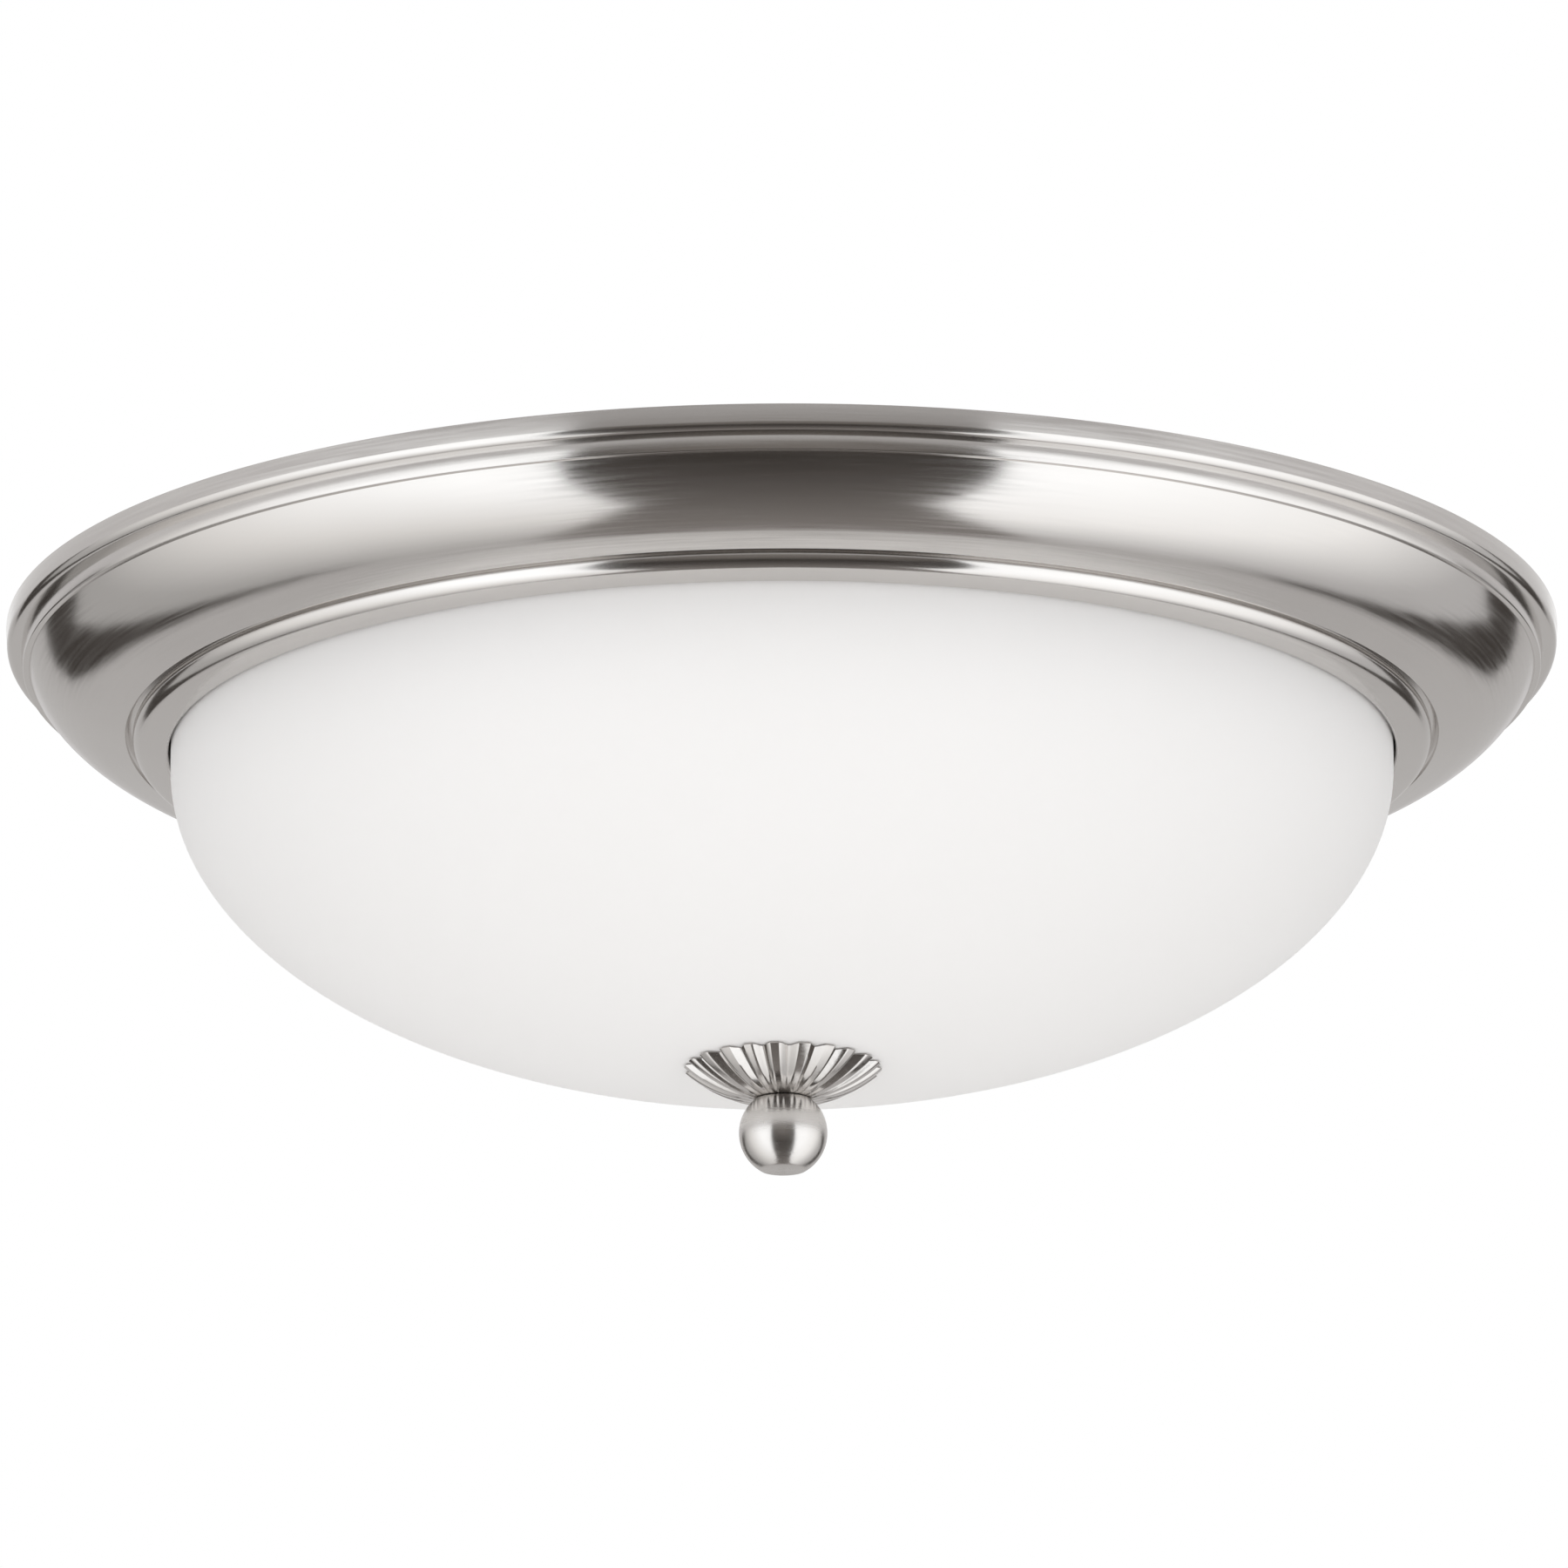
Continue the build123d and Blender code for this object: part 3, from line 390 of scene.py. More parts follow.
def make_screw(name, shank, pitch, length):
    """A slotted pan-head screw with its shank up the Z axis from the origin."""
    head = turn_on_lathe(
        name,
        [(0, -2.4), (2, -2.36), *arc((2.9, -1.3), 1.1, -84, 84, 7), (4, 0), (0, 0)],
        48,
    )
    bpy.ops.mesh.primitive_cube_add(location=driver_place)
    driver = bpy.context.object
    driver.scale = driver_slot
    bpy.ops.object.transform_apply(location=True, rotation=False, scale=True)
    cut(head, driver)
    root, start = shank - 0.6 * pitch, -0.4
    thread = roll_thread(name + "_thread", shank, root, pitch, start, length, 20)
    return join(head, thread)


def put(piece, matrix):
    """Moves a finished piece by a matrix and leaves its place in its mesh."""
    pick(piece)
    piece.matrix_world = matrix
    bpy.ops.object.transform_apply(location=True, rotation=True, scale=True)
    return piece


def copy_of(piece, name, matrix):
    """A copy of a piece with its own mesh, moved by a matrix."""
    pick(piece)
    bpy.ops.object.duplicate()
    bpy.context.object.name = name
    return put(bpy.context.object, matrix)


half_turn = Matrix.Rotation(pi, 4, "Z")
first_screw = make_screw("pan_screws_slotted", screw_shank, screw_pitch, pan_screw_length)
put(first_screw, Matrix.Translation((pan_screw_places[0][0] / 1000, 0, plate_under / 1000)))
second_screw = copy_of(first_screw, "second_pan_screw", half_turn)
fit(join(first_screw, second_screw), zinc, "zinc_steel", "fixture", "pan_screws")

earth_screw = make_screw("earth_screw", screw_shank, screw_pitch, strap_thickness)
put(earth_screw, Matrix.Translation((earth_screw_place / 1000, 0, -strap_thickness / 1000)))

# Green dyed zinc plate: a clear green film over bright metal, thinner and yellower on the raised parts.
green = new_material("green_dyed_zinc")
place = add_node(green, "ShaderNodeTexCoord", {}).outputs["Object"]
patches = add_node(
    green, "ShaderNodeTexNoise", {"Vector": place, "Scale": 1 / 0.002, "Detail": 3}
).outputs[0]
dye = add_node(
    green, "ShaderNodeMix", {0: patches, 6: linear("#2F7A45"), 7: linear("#4F9A52")}, data_type="RGBA"
).outputs[2]
dull = add_node(green, "ShaderNodeMapRange", {"Value": patches, 3: 0.3, 4: 0.45}).outputs[0]
metal = add_node(
    green,
    "ShaderNodeBsdfPrincipled",
    {"Base Color": dye, "Metallic": 0.6, "Roughness": dull, "Coat Weight": 0.3},
)
add_node(green, "ShaderNodeOutputMaterial", {"Surface": metal.outputs[0]})
fit(earth_screw, green, "green_screw", "fixture", "ground_screw")

# Centre rod
# A length of quarter-inch steel rod, threaded twenty turns to the inch and zinc plated. A nut above the
# plate, and a split washer and a nut below it, hold the rod, and the ball finial screws on to its end.
rod_low, rod_high = -112.57, -8.0
rod_crest, rod_root, rod_pitch = 3.175, 2.45, 1.27
threaded_rod = roll_thread("threaded_rod", rod_crest, rod_root, rod_pitch, rod_low, rod_high, 28)
fit(threaded_rod, zinc, "zinc_steel", "fixture", "centre_rod")

nut_corner, nut_bore, nut_face, nut_half = 6.409, 3.18, 5.4, 2.75
chamfer_reach, chamfer_drop = 6.7, 0.75
upper_nut_low, lower_nut_low = -15.0, -22.7
bpy.ops.object.select_all(action="DESELECT")
bpy.ops.mesh.primitive_cylinder_add(
    vertices=6, radius=nut_corner / 1000, depth=2 * nut_half / 1000, rotation=(0, 0, pi / 6)
)
upper_nut = bpy.context.object
upper_nut.name = "hex_nut_upper"
bpy.ops.object.transform_apply(location=True, rotation=True, scale=True)
chamfer = [
    (nut_bore, -nut_half),
    (nut_face, -nut_half),
    (chamfer_reach, -nut_half + chamfer_drop),
    (chamfer_reach, nut_half - chamfer_drop),
    (nut_face, nut_half),
    (nut_bore, nut_half),
]
cut(upper_nut, turn_on_lathe("chamfered_blank", chamfer + chamfer[:1], 64), "INTERSECT")
lower_place = Matrix.Translation((0, 0, (lower_nut_low + nut_half) / 1000))
lower_nut = copy_of(upper_nut, "hex_nut_lower", lower_place)
put(upper_nut, Matrix.Translation((0, 0, (upper_nut_low + nut_half) / 1000)))
fit(upper_nut, zinc, "zinc_steel", "fixture", "rod_nut_upper")
fit(lower_nut, zinc, "zinc_steel", "fixture", "rod_nut_lower")
fit(ease("rod_lock_washer", "split_washer", 0.2), zinc, "zinc_steel", "fixture", "rod_lock_washer")

# Lamp brackets
# Two strips of zinc plated steel, bent square over a former and fixed under the plate by two rivets each.
# The rivets are set with a domed head below and a flatter one on the plate's back.
for side in ("left", "right"):
    bracket = ease(f"socket_bracket_{side}", f"bent_bracket_{side}", 0.3)
    fit(bracket, zinc, "zinc_steel", "fixture", f"socket_bracket_{side}")

rivet_foot, rivet_back = -17.5, -15.0
rivet_outline = [
    (0, rivet_foot - 1.2),
    (1.2, rivet_foot - 1.12),
    (2.2, rivet_foot - 0.85),
    (2.8, rivet_foot - 0.4),
    (3.0, rivet_foot),
    (1.6, rivet_foot),
    (1.6, rivet_back),
    (2.6, rivet_back),
    (2.9, rivet_back + 0.4),
    (2.2, rivet_back + 0.95),
    (1.0, rivet_back + 1.2),
    (0, rivet_back + 1.2),
]
rivet_moves = [Matrix.Translation((x / 1000, y / 1000, 0)) for x, y in rivet_places]
rivet = turn_on_lathe("domed_rivets", rivet_outline, 32)
other_rivets = [copy_of(rivet, "rivet", move) for move in rivet_moves[1:]]
put(rivet, rivet_moves[0])
fit(join(rivet, *other_rivets), zinc, "zinc_steel", "fixture", "bracket_rivets")

# Lamp sockets
# Two glazed porcelain bodies, pressed in a die and fired, each with a pressed metal screw shell and a brass
# leaf that meets the lamp's end. A short screw through the bracket holds each one.
socket_back, lamp_height = -57.0, -49.0
socket_corner = Matrix.Translation((socket_back / 1000, -lamp_offset / 1000, lamp_height / 1000))
lamp_place = socket_corner @ Matrix.Rotation(pi / 2, 4, "Y")
body_outline = [
    (0, 0),
    *arc((17.7, 1.8), 1.8, -90, 90, 8),
    *arc((18.3, 13.8), 1.2, 0, 90, 7),
    (17.5, 15.1),
    (17.2, 15.5),
    (17.2, 22.0),
    *arc((16.7, 23.2), 0.5, -20, 40, 3),
    (17.2, 24.4),
    *arc((15.9, 36.7), 1.3, 0, 90, 7),
    *arc((14.7, 37.2), 0.8, 90, 90, 6),
    (13.9, 6.9),
    (13.5, 6.5),
    (0, 6.5),
]
socket_left = put(turn_on_lathe("porcelain_socket_left", body_outline, 96), lamp_place)
socket_right = copy_of(socket_left, "porcelain_socket_right", half_turn)

# Glazed porcelain: warm white with a clear wet gloss, and a few darker specks of iron under the glaze.
porcelain = new_material("glazed_porcelain")
place = add_node(porcelain, "ShaderNodeTexCoord", {}).outputs["Object"]
clouds = add_node(
    porcelain, "ShaderNodeTexNoise", {"Vector": place, "Scale": 1 / 0.015, "Detail": 3}
).outputs[0]
paste = add_node(
    porcelain, "ShaderNodeMix", {0: clouds, 6: linear("#E4DFD3"), 7: linear("#F1EEE6")}, data_type="RGBA"
).outputs[2]
dots = add_node(porcelain, "ShaderNodeTexVoronoi", {"Vector": place, "Scale": 1 / 0.006}).outputs["Distance"]
speck = add_node(
    porcelain, "ShaderNodeMapRange", {"Value": dots, 1: 0.03, 2: 0.06, 3: 0.6, 4: 0.0}
).outputs[0]
glazed = add_node(
    porcelain, "ShaderNodeMix", {0: speck, 6: paste, 7: linear("#8C7B66")}, data_type="RGBA"
).outputs[2]
pool = add_node(porcelain, "ShaderNodeMapRange", {"Value": clouds, 3: 0.12, 4: 0.24}).outputs[0]
dimple = add_node(
    porcelain, "ShaderNodeBump", {"Strength": 0.15, "Distance": 0.0004, "Height": clouds}
).outputs[0]
glaze = add_node(
    porcelain,
    "ShaderNodeBsdfPrincipled",
    {"Base Color": glazed, "Roughness": pool, "IOR": 1.5, "Coat Weight": 0.5, "Normal": dimple},
)
add_node(porcelain, "ShaderNodeOutputMaterial", {"Surface": glaze.outputs[0]})
fit(socket_left, porcelain, "porcelain", "fixture", "socket_body_left")
fit(socket_right, porcelain, "porcelain", "fixture", "socket_body_right")


def pick_faces(piece, wanted):
    """Goes into edit mode with the faces selected that the test wants."""
    bpy.ops.object.mode_set(mode="EDIT")
    bpy.ops.mesh.select_mode(type="FACE")
    bpy.ops.object.mode_set(mode="OBJECT")
    for face in piece.data.polygons:
        face.select = wanted(face)
    bpy.ops.object.mode_set(mode="EDIT")


shell_crest, shell_root, lamp_pitch, shell_low, shell_high, shell_wall = 13.72, 13.3, 3.63, 8.5, 36.0, 0.2
shell_left = roll_thread("screw_shell_left", shell_crest, shell_root, lamp_pitch, shell_low, shell_high, 72)
# The shell is open at both ends, so the thread's end faces come off.
pick_faces(shell_left, lambda face: abs(face.normal.z) > 0.99 and len(face.vertices) > 8)
bpy.ops.mesh.delete(type="ONLY_FACE")
bpy.ops.object.mode_set(mode="OBJECT")
sheet = shell_left.modifiers.new("wall", "SOLIDIFY")
sheet.thickness, sheet.offset = shell_wall / 1000, -1
bpy.ops.object.modifier_apply(modifier="wall")
put(shell_left, lamp_place)
shell_right = copy_of(shell_left, "screw_shell_right", half_turn)

# Pressed aluminium: pale grey, drawn in a die, with fine lines along the stroke and a soft shine.
pressed = new_material("pressed_aluminium")
place = add_node(pressed, "ShaderNodeTexCoord", {}).outputs["Object"]
drawn = add_node(
    pressed, "ShaderNodeMapping", {"Vector": place, "Scale": (1 / 0.012, 1 / 0.0006, 1 / 0.0006)}
).outputs[0]
lines = add_node(pressed, "ShaderNodeTexNoise", {"Vector": drawn, "Scale": 1, "Detail": 2}).outputs[0]
tone = add_node(
    pressed, "ShaderNodeMix", {0: lines, 6: linear("#CFCBC2"), 7: linear("#E2DFD8")}, data_type="RGBA"
).outputs[2]
dull = add_node(pressed, "ShaderNodeMapRange", {"Value": lines, 3: 0.24, 4: 0.4}).outputs[0]
metal = add_node(pressed, "ShaderNodeBsdfPrincipled", {"Base Color": tone, "Metallic": 1, "Roughness": dull})
add_node(pressed, "ShaderNodeOutputMaterial", {"Surface": metal.outputs[0]})
fit(shell_left, pressed, "shell_metal", "fixture", "socket_shell_left")
fit(shell_right, pressed, "shell_metal", "fixture", "socket_shell_right")

# Spring brass: yellow rolled strip, bright along the roll and brown where it has tarnished.
brass = new_material("rolled_spring_brass")
place = add_node(brass, "ShaderNodeTexCoord", {}).outputs["Object"]
tarnish = add_node(
    brass, "ShaderNodeTexNoise", {"Vector": place, "Scale": 1 / 0.003, "Detail": 4}
).outputs[0]
tone = add_node(
    brass, "ShaderNodeMix", {0: tarnish, 6: linear("#B08A3E"), 7: linear("#E0C171")}, data_type="RGBA"
).outputs[2]
dull = add_node(brass, "ShaderNodeMapRange", {"Value": tarnish, 3: 0.38, 4: 0.2}).outputs[0]
metal = add_node(brass, "ShaderNodeBsdfPrincipled", {"Base Color": tone, "Metallic": 1, "Roughness": dull})
add_node(brass, "ShaderNodeOutputMaterial", {"Surface": metal.outputs[0]})
for side in ("left", "right"):
    leaf = ease(f"socket_contact_{side}", f"brass_leaf_{side}", 0.12)
    fit(leaf, brass, "spring_brass", "fixture", f"socket_contact_{side}")

short_shank, short_pitch, short_length, bracket_sheet = 1.9, 0.7, 6.5, 1.5
short_screw = make_screw("socket_screws_slotted", short_shank, short_pitch, short_length)
put(short_screw, lamp_place @ Matrix.Translation((0, 0, -bracket_sheet / 1000)))
other_screw = copy_of(short_screw, "other_socket_screw", half_turn)
fit(join(short_screw, other_screw), zinc, "zinc_steel", "fixture", "socket_screws")

# Lamp bulbs
# Two glass bulbs, blown in a mould and coated white inside, each cemented into a rolled aluminium screw cap
# with a black glass insulator and a solder contact at its end.
bulb_centre, bulb_round = 84.0, 30.0
neck_end, neck_radius, cap_low, cap_high = 39.0, 12.35, 14.2, 34.0
neck_reach = bulb_centre - neck_end
neck_curve = (neck_reach**2 + neck_radius**2 - bulb_round**2) / (2 * (bulb_round - neck_radius))
curve_turn = degrees(atan2(neck_reach, neck_radius + neck_curve))
glass_outline = [
    (0, cap_high - 6),
    (neck_radius, cap_high - 6),
    (neck_radius, cap_high),
    *arc((neck_radius + neck_curve, neck_end), neck_curve, 180, -curve_turn, 16),
    *arc((0, bulb_centre), bulb_round, -curve_turn, 90 + curve_turn, 36)[1:],
]
bulb_left = turn_on_lathe("frosted_bulb_left", glass_outline, 96)
put(bulb_left, lamp_place)
bulb_right = copy_of(bulb_left, "frosted_bulb_right", half_turn)

# Soft white bulb glass: a chalky coat seen through clear glass, even and matt with a faint outer gloss.
frosted = new_material("white_coated_bulb_glass")
place = add_node(frosted, "ShaderNodeTexCoord", {}).outputs["Object"]
coat = add_node(frosted, "ShaderNodeTexNoise", {"Vector": place, "Scale": 1 / 0.012, "Detail": 1}).outputs[0]
tone = add_node(
    frosted, "ShaderNodeMix", {0: coat, 6: linear("#EAE8E4"), 7: linear("#F1EFEC")}, data_type="RGBA"
).outputs[2]
dull = add_node(frosted, "ShaderNodeMapRange", {"Value": coat, 3: 0.28, 4: 0.32}).outputs[0]
glass = add_node(frosted, "ShaderNodeBsdfPrincipled", {"Base Color": tone, "Roughness": dull, "IOR": 1.5})
add_node(frosted, "ShaderNodeOutputMaterial", {"Surface": glass.outputs[0]})
fit(bulb_left, frosted, "frosted_glass", "bulb_left", "bulb_glass_left")
fit(bulb_right, frosted, "frosted_glass", "bulb_right", "bulb_glass_right")

cap_crest, cap_root, thread_end = 13.0, 12.25, 28.5
cap_left = roll_thread("threaded_cap_left", cap_crest, cap_root, lamp_pitch, cap_low, thread_end, 72)
collar_outline = [
    (12.0, 27.5),
    (12.45, 28.0),
    (12.75, 28.6),
    (12.8, 32.8),
    *arc((12.6, 33.6), 0.4, -30, 180, 7),
    (12.2, 33.0),
    (12.0, 27.5),
]
put(join(cap_left, turn_on_lathe("cap_collar", collar_outline, 72)), lamp_place)
cap_right = copy_of(cap_left, "threaded_cap_right", half_turn)
fit(cap_left, pressed, "cap_metal", "bulb_left", "bulb_cap_left")
fit(cap_right, pressed, "cap_metal", "bulb_right", "bulb_cap_right")

# Black glass: poured while hot, so it is smooth and deep black with slight ripples.
black_glass = new_material("black_insulator_glass")
place = add_node(black_glass, "ShaderNodeTexCoord", {}).outputs["Object"]
ripple = add_node(
    black_glass, "ShaderNodeTexNoise", {"Vector": place, "Scale": 1 / 0.004, "Detail": 2}
).outputs[0]
tone = add_node(
    black_glass, "ShaderNodeMix", {0: ripple, 6: linear("#141418"), 7: linear("#26242A")}, data_type="RGBA"
).outputs[2]
wavy = add_node(
    black_glass, "ShaderNodeBump", {"Strength": 0.3, "Distance": 0.0003, "Height": ripple}
).outputs[0]
glass = add_node(
    black_glass,
    "ShaderNodeBsdfPrincipled",
    {"Base Color": tone, "Roughness": 0.12, "IOR": 1.52, "Normal": wavy},
)
add_node(black_glass, "ShaderNodeOutputMaterial", {"Surface": glass.outputs[0]})

# Solder: dull tin grey, flattened by the socket's leaf, with a frosted crystal grain.
solder = new_material("tin_solder")
place = add_node(solder, "ShaderNodeTexCoord", {}).outputs["Object"]
crystals = add_node(solder, "ShaderNodeTexVoronoi", {"Vector": place, "Scale": 1 / 0.0012}).outputs["Color"]
frost = add_node(
    solder, "ShaderNodeTexNoise", {"Vector": place, "Scale": 1 / 0.0015, "Detail": 3}
).outputs[0]
tone = add_node(
    solder, "ShaderNodeMix", {0: frost, 6: linear("#A2A4A6"), 7: linear("#C8C9C9")}, data_type="RGBA"
).outputs[2]
dull = add_node(solder, "ShaderNodeMapRange", {"Value": crystals, 3: 0.35, 4: 0.55}).outputs[0]
metal = add_node(solder, "ShaderNodeBsdfPrincipled", {"Base Color": tone, "Metallic": 1, "Roughness": dull})
add_node(solder, "ShaderNodeOutputMaterial", {"Surface": metal.outputs[0]})
for side in ("left", "right"):
    insulator = ease(f"bulb_insulator_{side}", f"glass_insulator_{side}", 0.4)
    fit(insulator, black_glass, "cap_insulator", f"bulb_{side}", f"bulb_insulator_{side}")
    button = ease(f"bulb_contact_{side}", f"solder_button_{side}", 0.2)
    fit(button, solder, "solder", f"bulb_{side}", f"bulb_contact_{side}")

# Wiring
# Two insulated leads from each socket go up through a snap-in nylon bushing in the plate and end in pairs
# inside two twist-on connectors, one for the live side and one for the neutral.

# Moulded nylon: near black and satin, with a fine grain from the mould.
nylon = new_material("black_moulded_nylon")
place = add_node(nylon, "ShaderNodeTexCoord", {}).outputs["Object"]
mould = add_node(nylon, "ShaderNodeTexNoise", {"Vector": place, "Scale": 1 / 0.0008, "Detail": 2}).outputs[0]
tone = add_node(
    nylon, "ShaderNodeMix", {0: mould, 6: linear("#1A1A1B"), 7: linear("#2C2B2B")}, data_type="RGBA"
).outputs[2]
grain = add_node(nylon, "ShaderNodeBump", {"Strength": 0.2, "Distance": 0.0001, "Height": mould}).outputs[0]
plastic = add_node(
    nylon, "ShaderNodeBsdfPrincipled", {"Base Color": tone, "Roughness": 0.48, "IOR": 1.53, "Normal": grain}
)
add_node(nylon, "ShaderNodeOutputMaterial", {"Surface": plastic.outputs[0]})
fit(ease("wire_bushings", "snap_bushings", 0.25), nylon, "bushing_plastic", "fixture", "wire_bushings")

# Lead insulation: PVC drawn over the wire, satin, with faint scuffs where it was pulled through the bushing.
for label, low_tone, high_tone, nodes in (
    ("black_pvc", "#17171A", "#2A2A2C", ("live_lead_left", "live_lead_right")),
    ("white_pvc", "#D8D5CC", "#ECEAE4", ("neutral_lead_left", "neutral_lead_right")),
):
    pvc = new_material(label)
    place = add_node(pvc, "ShaderNodeTexCoord", {}).outputs["Object"]
    scuff = add_node(
        pvc, "ShaderNodeTexNoise", {"Vector": place, "Scale": 1 / 0.002, "Detail": 4}
    ).outputs[0]
    tone = add_node(
        pvc, "ShaderNodeMix", {0: scuff, 6: linear(low_tone), 7: linear(high_tone)}, data_type="RGBA"
    ).outputs[2]
    dull = add_node(pvc, "ShaderNodeMapRange", {"Value": scuff, 3: 0.32, 4: 0.5}).outputs[0]
    plastic = add_node(pvc, "ShaderNodeBsdfPrincipled", {"Base Color": tone, "Roughness": dull, "IOR": 1.53})
    add_node(pvc, "ShaderNodeOutputMaterial", {"Surface": plastic.outputs[0]})
    for node in nodes:
        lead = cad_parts[node]
        lead.data.materials.clear()
        lead.data.materials.append(pvc)

# Twist-on connectors: a moulded cone with grip ribs and a rolled skirt round its mouth.
connector_outline = [
    (3.5, 14.0),
    (3.5, 0.0),
    (4.9, 0.0),
    (5.4, 0.5),
    (5.5, 1.2),
    (5.42, 2.6),
    (5.1, 3.0),
    (5.2, 3.4),
    (4.15, 17.0),
    (4.0, 18.2),
    *arc((2.9, 18.9), 1.1, 0, 90, 5),
    (0, 20.0),
]
connector_steps, rib_inside, rib_low, rib_high, rib_height = 48, 3.8, 3.4, 17.0, 0.4
mouth_offset, mouth_height = 30.052, -9.2


def is_rib(face):
    """Two columns of faces in every four, on the outside of the connector's cone."""
    x, y, z = face.center * 1000
    column = int((atan2(y, x) / (2 * pi) % 1) * connector_steps + 0.01)
    return hypot(x, y) > rib_inside and rib_low < z < rib_high and column % 4 < 2


connector = turn_on_lathe("twist_connectors", connector_outline, connector_steps)
pick_faces(connector, is_rib)
bpy.ops.mesh.extrude_region_shrink_fatten(TRANSFORM_OT_shrink_fatten={"value": -rib_height / 1000})
close_mesh()
mouth = Matrix.Translation((mouth_offset / 1000, -mouth_offset / 1000, mouth_height / 1000))
put(connector, mouth @ Matrix.Rotation(-pi / 4, 4, "Z") @ Matrix.Rotation(pi / 2, 4, "Y"))
other_connector = copy_of(connector, "other_connector", half_turn)

# Moulded polypropylene: waxy orange, slightly see-through, with a fine spark-eroded grain from the mould.
orange = new_material("orange_polypropylene")
place = add_node(orange, "ShaderNodeTexCoord", {}).outputs["Object"]
mould = add_node(
    orange, "ShaderNodeTexNoise", {"Vector": place, "Scale": 1 / 0.0007, "Detail": 2}
).outputs[0]
tone = add_node(
    orange, "ShaderNodeMix", {0: mould, 6: linear("#C4611B"), 7: linear("#DC7A2C")}, data_type="RGBA"
).outputs[2]
grain = add_node(
    orange, "ShaderNodeBump", {"Strength": 0.25, "Distance": 0.0001, "Height": mould}
).outputs[0]
plastic = add_node(
    orange, "ShaderNodeBsdfPrincipled", {"Base Color": tone, "Roughness": 0.42, "IOR": 1.49, "Normal": grain}
)
add_node(orange, "ShaderNodeOutputMaterial", {"Surface": plastic.outputs[0]})
fit(join(connector, other_connector), orange, "connector_plastic", "fixture", "wire_connectors")

# Glass bowl
# A bowl of white opal glass, blown into a mould, with its outside etched to a satin. Its neck stands up
# inside the pan's mouth, and the finial holds it through a hole drilled at its lowest point.
bowl_radius, bowl_drop, bowl_spring, bowl_rim = 132.4, 66.3, -31.1, -16.3
glass_wall, hole_radius, neck_middle, rim_round = 3.5, 6.5, -26.0, 0.8


def bowl_face(inset, points):
    """The bowl's wall from its spring line to the hole, moved into the glass by inset."""
    across, drop = bowl_radius - inset, bowl_drop - inset
    turns = [acos(hole_radius / across) * i / (points - 1) for i in range(points)]
    return [(across * cos(t), bowl_spring - drop * sin(t)) for t in turns]


bowl_outline = [
    *bowl_face(0, 60)[::-1],
    (bowl_radius, neck_middle),
    *arc((bowl_radius - rim_round, bowl_rim - rim_round), rim_round, 0, 90, 5),
    *arc((bowl_radius - glass_wall + rim_round, bowl_rim - rim_round), rim_round, 90, 90, 5),
    *bowl_face(glass_wall, 44),
]
opal_bowl = turn_on_lathe("opal_bowl", bowl_outline + bowl_outline[:1], round_steps)

# Satin opal glass: milky white all through, with a finely etched skin that gives soft light and no clear
# reflection. The etch is about 0.05 mm, too fine to show, so it is drawn 0.8 mm wide and very shallow.
opal = new_material("satin_opal_glass")
place = add_node(opal, "ShaderNodeTexCoord", {}).outputs["Object"]
milk = add_node(opal, "ShaderNodeTexNoise", {"Vector": place, "Scale": 1 / 0.06, "Detail": 3}).outputs[0]
etch = add_node(opal, "ShaderNodeTexNoise", {"Vector": place, "Scale": 1 / 0.0008, "Detail": 2}).outputs[0]
tone = add_node(
    opal, "ShaderNodeMix", {0: milk, 6: linear("#FAF8F7"), 7: linear("#FDFBFB")}, data_type="RGBA"
).outputs[2]
dull = add_node(opal, "ShaderNodeMapRange", {"Value": etch, 3: 0.46, 4: 0.56}).outputs[0]
skin_grain = add_node(
    opal, "ShaderNodeBump", {"Strength": 0.04, "Distance": 0.00005, "Height": etch}
).outputs[0]
glass = add_node(
    opal,
    "ShaderNodeBsdfPrincipled",
    {
        "Base Color": tone,
        "Subsurface Weight": 0.5,
        "Subsurface Radius": (1, 1, 1),
        "Subsurface Scale": 0.008,
        "Roughness": dull,
        "IOR": 1.5,
        "Specular IOR Level": 0.2,
        "Normal": skin_grain,
    },
)
add_node(opal, "ShaderNodeOutputMaterial", {"Surface": glass.outputs[0]})
fit(opal_bowl, opal, "opal_glass", "bowl", "glass_bowl")

# Finial cup
# A washer pressed from nickel plated sheet into a dish with twenty-two ruffled flutes, like a bottle cap.
# It holds the bowl up on a rubber grommet, and the ball below pulls it tight.
flutes, flute_depth, flute_steps = 22, 1.6, 14
pleat_start, pleat_stray, pleat_flat, pleat_lead = 0.26, 0.018, 0.4, 0.6
cup_rim, cup_seat, cup_reach, cup_neck, cup_flat, cup_bore = -97.02, -104.02, 21.3, 6.8, 5.2, 3.475
cup_curve, rim_turn = 30.0, -40
cup_sheet, rim_thinning, thin_from, thin_over = 2.4, 0.68, 11, 7
chord = Vector((cup_reach - cup_neck, cup_rim - cup_seat))
cup_middle = Vector((cup_neck, cup_seat)) + chord / 2
cup_rise = sqrt(cup_curve**2 - (chord.length / 2) ** 2)
cup_centre = cup_middle + Vector((-chord.y, chord.x)).normalized() * cup_rise
neck_turn = degrees(atan2(cup_seat - cup_centre.y, cup_neck - cup_centre.x))
cup_line = [
    (cup_bore, cup_seat),
    (cup_flat, cup_seat),
    *arc(cup_centre, cup_curve, neck_turn, rim_turn - neck_turn, 26),
]
ruffled_cup = turn_on_lathe("ruffled_cup", cup_line, flutes * flute_steps)
folds = ruffled_cup.vertex_groups.new(name="folds")
sheet_share = ruffled_cup.vertex_groups.new(name="sheet")
